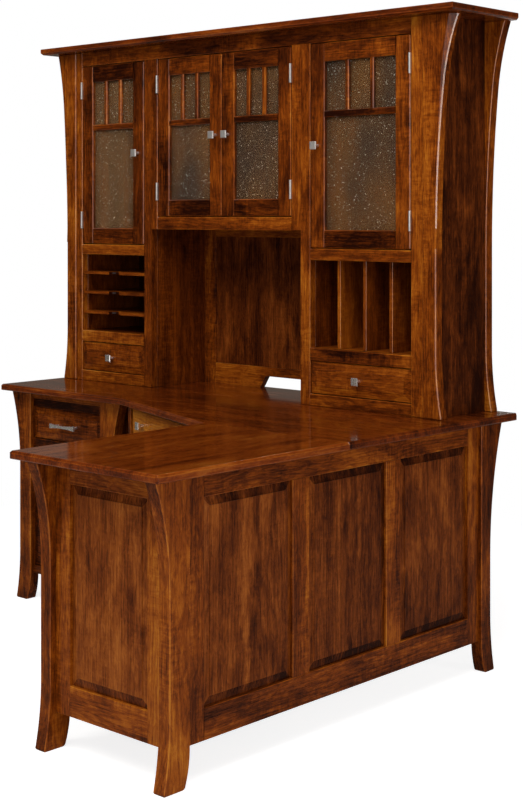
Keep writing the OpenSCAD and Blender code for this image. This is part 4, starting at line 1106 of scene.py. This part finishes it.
glass_finish, tree, shader = new_finish("seeded_glass_sheet")
shader["Metallic"].default_value = 0.0
shader["Transmission Weight"].default_value = 0.86
shader["Roughness"].default_value = 0.2
shader["IOR"].default_value = 1.48
shader["Alpha"].default_value = 0.6
where = add(tree, "ShaderNodeTexCoord").outputs["Object"]
waves = stretched_noise(tree, where, WAVES, 2.0, 0.5)
pits = stretched_noise(tree, where, PITS, 1.0, 0.4)
mist = stretched_noise(tree, where, MIST, 2.0, 0.5)
sheets = add(tree, "ShaderNodeSeparateXYZ")
wire(tree, where, sheets.inputs[0])
left_door = remap(tree, sheets.outputs["X"], *LEFT_DOOR_END, 1.0, 0.0)
smoke = mix_colours(tree, left_door, colour_ramp(tree, mist, SMOKE), PALER_SMOKE)
wire(tree, smoke, shader["Base Color"])
height = plus(tree, waves, times(tree, pits, PIT_PART))
raise_relief(tree, height, shader["Normal"], WAVE_STRENGTH, WAVE_DEPTH)
spread_out(tree, glass_finish.name)
for node in GLASS:
    nodes[node].data.materials.clear()
    nodes[node].data.materials.append(glass_finish)
print("glass", GLASS)

# %% [markdown]
# A seed is a bubble of air, and it shows as a pale pinpoint because it throws light back. A
# bubble cut into the glass would be true to that, but at this size nothing of its inside can
# be seen, so a pale, glossy ball stands for it, its pale colour a painted glint, some of them
# brighter than others.

# %% The seeds' finish
GLINTS = (160.0, 160.0, 160.0)
# The seeds' pale colours are a painted glint.
SEED_PAINTED_GLINT = [(0.40, (0.62, 0.58, 0.53)), (0.62, (0.95, 0.94, 0.92))]
SEED_GLOSS = (0.12, 0.3)
SEED_SPECULAR = 0.8

seed_finish, tree, shader = new_finish("air_seed")
where = add(tree, "ShaderNodeTexCoord").outputs["Object"]
glint = stretched_noise(tree, where, GLINTS, 1.0, 0.5)
wire(tree, colour_ramp(tree, glint, SEED_PAINTED_GLINT), shader["Base Color"])
wire(tree, remap(tree, glint, *NOISE_SPAN, *SEED_GLOSS), shader["Roughness"])
shader["Specular IOR Level"].default_value = SEED_SPECULAR
spread_out(tree, seed_finish.name)

# %% [markdown]
# Thousands of seeds are no work for hands, so Geometry Nodes scatter them over the front of each
# sheet: points at random, a small ball at each, most of them tiny, all drawn out upright as the
# glass was when it was pulled. The result is turned into a plain mesh that rides on its door.

# %% A tree that scatters seeds
RARITY = 2.6
FLATNESS = 0.5
DRAWN_OUT = 1.15
FACES_PER_SEED = 20


def seeds_tree(material):
    """The tree, and the sockets of its four named inputs."""
    tree = bpy.data.node_groups.new("glass_seeds", "GeometryNodeTree")
    face = tree.interface
    face.new_socket("Geometry", in_out="INPUT", socket_type="NodeSocketGeometry")
    sockets = {}
    for label in ("Seeds per Square Metre", "Smallest Radius", "Largest Radius"):
        sockets[label] = face.new_socket(label, in_out="INPUT", socket_type="NodeSocketFloat")
    sockets["Draw"] = face.new_socket("Draw", in_out="INPUT", socket_type="NodeSocketInt")
    face.new_socket("Geometry", in_out="OUTPUT", socket_type="NodeSocketGeometry")
    enter, leave = add(tree, "NodeGroupInput"), add(tree, "NodeGroupOutput")
    scatter = add(tree, "GeometryNodeDistributePointsOnFaces", distribute_method="RANDOM")
    wire(tree, enter.outputs["Geometry"], scatter.inputs["Mesh"])
    wire(tree, enter.outputs["Seeds per Square Metre"], scatter.inputs["Density"])
    wire(tree, enter.outputs["Draw"], scatter.inputs["Seed"])
    luck = add(tree, "FunctionNodeRandomValue", data_type="FLOAT")
    wire(tree, enter.outputs["Draw"], luck.inputs["Seed"])
    size = add(tree, "ShaderNodeMapRange")
    wire(tree, maths(tree, "POWER", luck.outputs[1], RARITY), size.inputs["Value"])
    wire(tree, enter.outputs["Smallest Radius"], size.inputs["To Min"])
    wire(tree, enter.outputs["Largest Radius"], size.inputs["To Max"])
    radius = size.outputs["Result"]
    shape = add(tree, "ShaderNodeCombineXYZ")
    wire(tree, radius, shape.inputs["X"])
    wire(tree, times(tree, radius, FLATNESS), shape.inputs["Y"])
    wire(tree, times(tree, radius, DRAWN_OUT), shape.inputs["Z"])
    ball = add(tree, "GeometryNodeMeshIcoSphere")
    ball.inputs["Radius"].default_value = 1.0
    ball.inputs["Subdivisions"].default_value = 1
    place = add(tree, "GeometryNodeInstanceOnPoints")
    wire(tree, scatter.outputs["Points"], place.inputs["Points"])
    wire(tree, ball.outputs["Mesh"], place.inputs["Instance"])
    wire(tree, shape.outputs["Vector"], place.inputs["Scale"])
    real = add(tree, "GeometryNodeRealizeInstances")
    wire(tree, place.outputs["Instances"], real.inputs["Geometry"])
    paint = add(tree, "GeometryNodeSetMaterial")
    paint.inputs["Material"].default_value = material
    wire(tree, real.outputs["Geometry"], paint.inputs["Geometry"])
    wire(tree, paint.outputs["Geometry"], leave.inputs["Geometry"])
    spread_out(tree, tree.name)
    return tree, sockets


# %% Scatter the seeds on each door's glass
SEEDS = {
    "Seeds per Square Metre": 4800.0,
    "Smallest Radius": 0.55 * MM,
    "Largest Radius": 1.20 * MM,
}
HIDDEN_EDGE = 9.5 * MM

scatter_tree, sockets = seeds_tree(seed_finish)
for draw, node in enumerate(GLASS, start=1):
    low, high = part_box(node)
    x0, x1 = low[X] + HIDDEN_EDGE, high[X] - HIDDEN_EDGE
    z0, z1 = low[Z] + HIDDEN_EDGE, high[Z] - HIDDEN_EDGE
    corners = [(x, low[Y], z) for x, z in ((x0, z0), (x1, z0), (x1, z1), (x0, z1))]
    mesh = bpy.data.meshes.new(node + "_seeds")
    mesh.from_pydata(corners, [], [(0, 1, 2, 3)])
    seeds = put(node + "_seeds", mesh)
    scatter = seeds.modifiers.new("seeds", "NODES")
    scatter.node_group = scatter_tree
    for label, value in {**SEEDS, "Draw": draw}.items():
        scatter[sockets[label].identifier] = value
    graph = bpy.context.evaluated_depsgraph_get()
    grown = bpy.data.meshes.new_from_object(seeds.evaluated_get(graph), depsgraph=graph)
    seeds.modifiers.remove(scatter)
    seeds.data = grown
    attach(seeds, body_of_node[node])
    print(node, "seeds", len(grown.polygons) // FACES_PER_SEED)
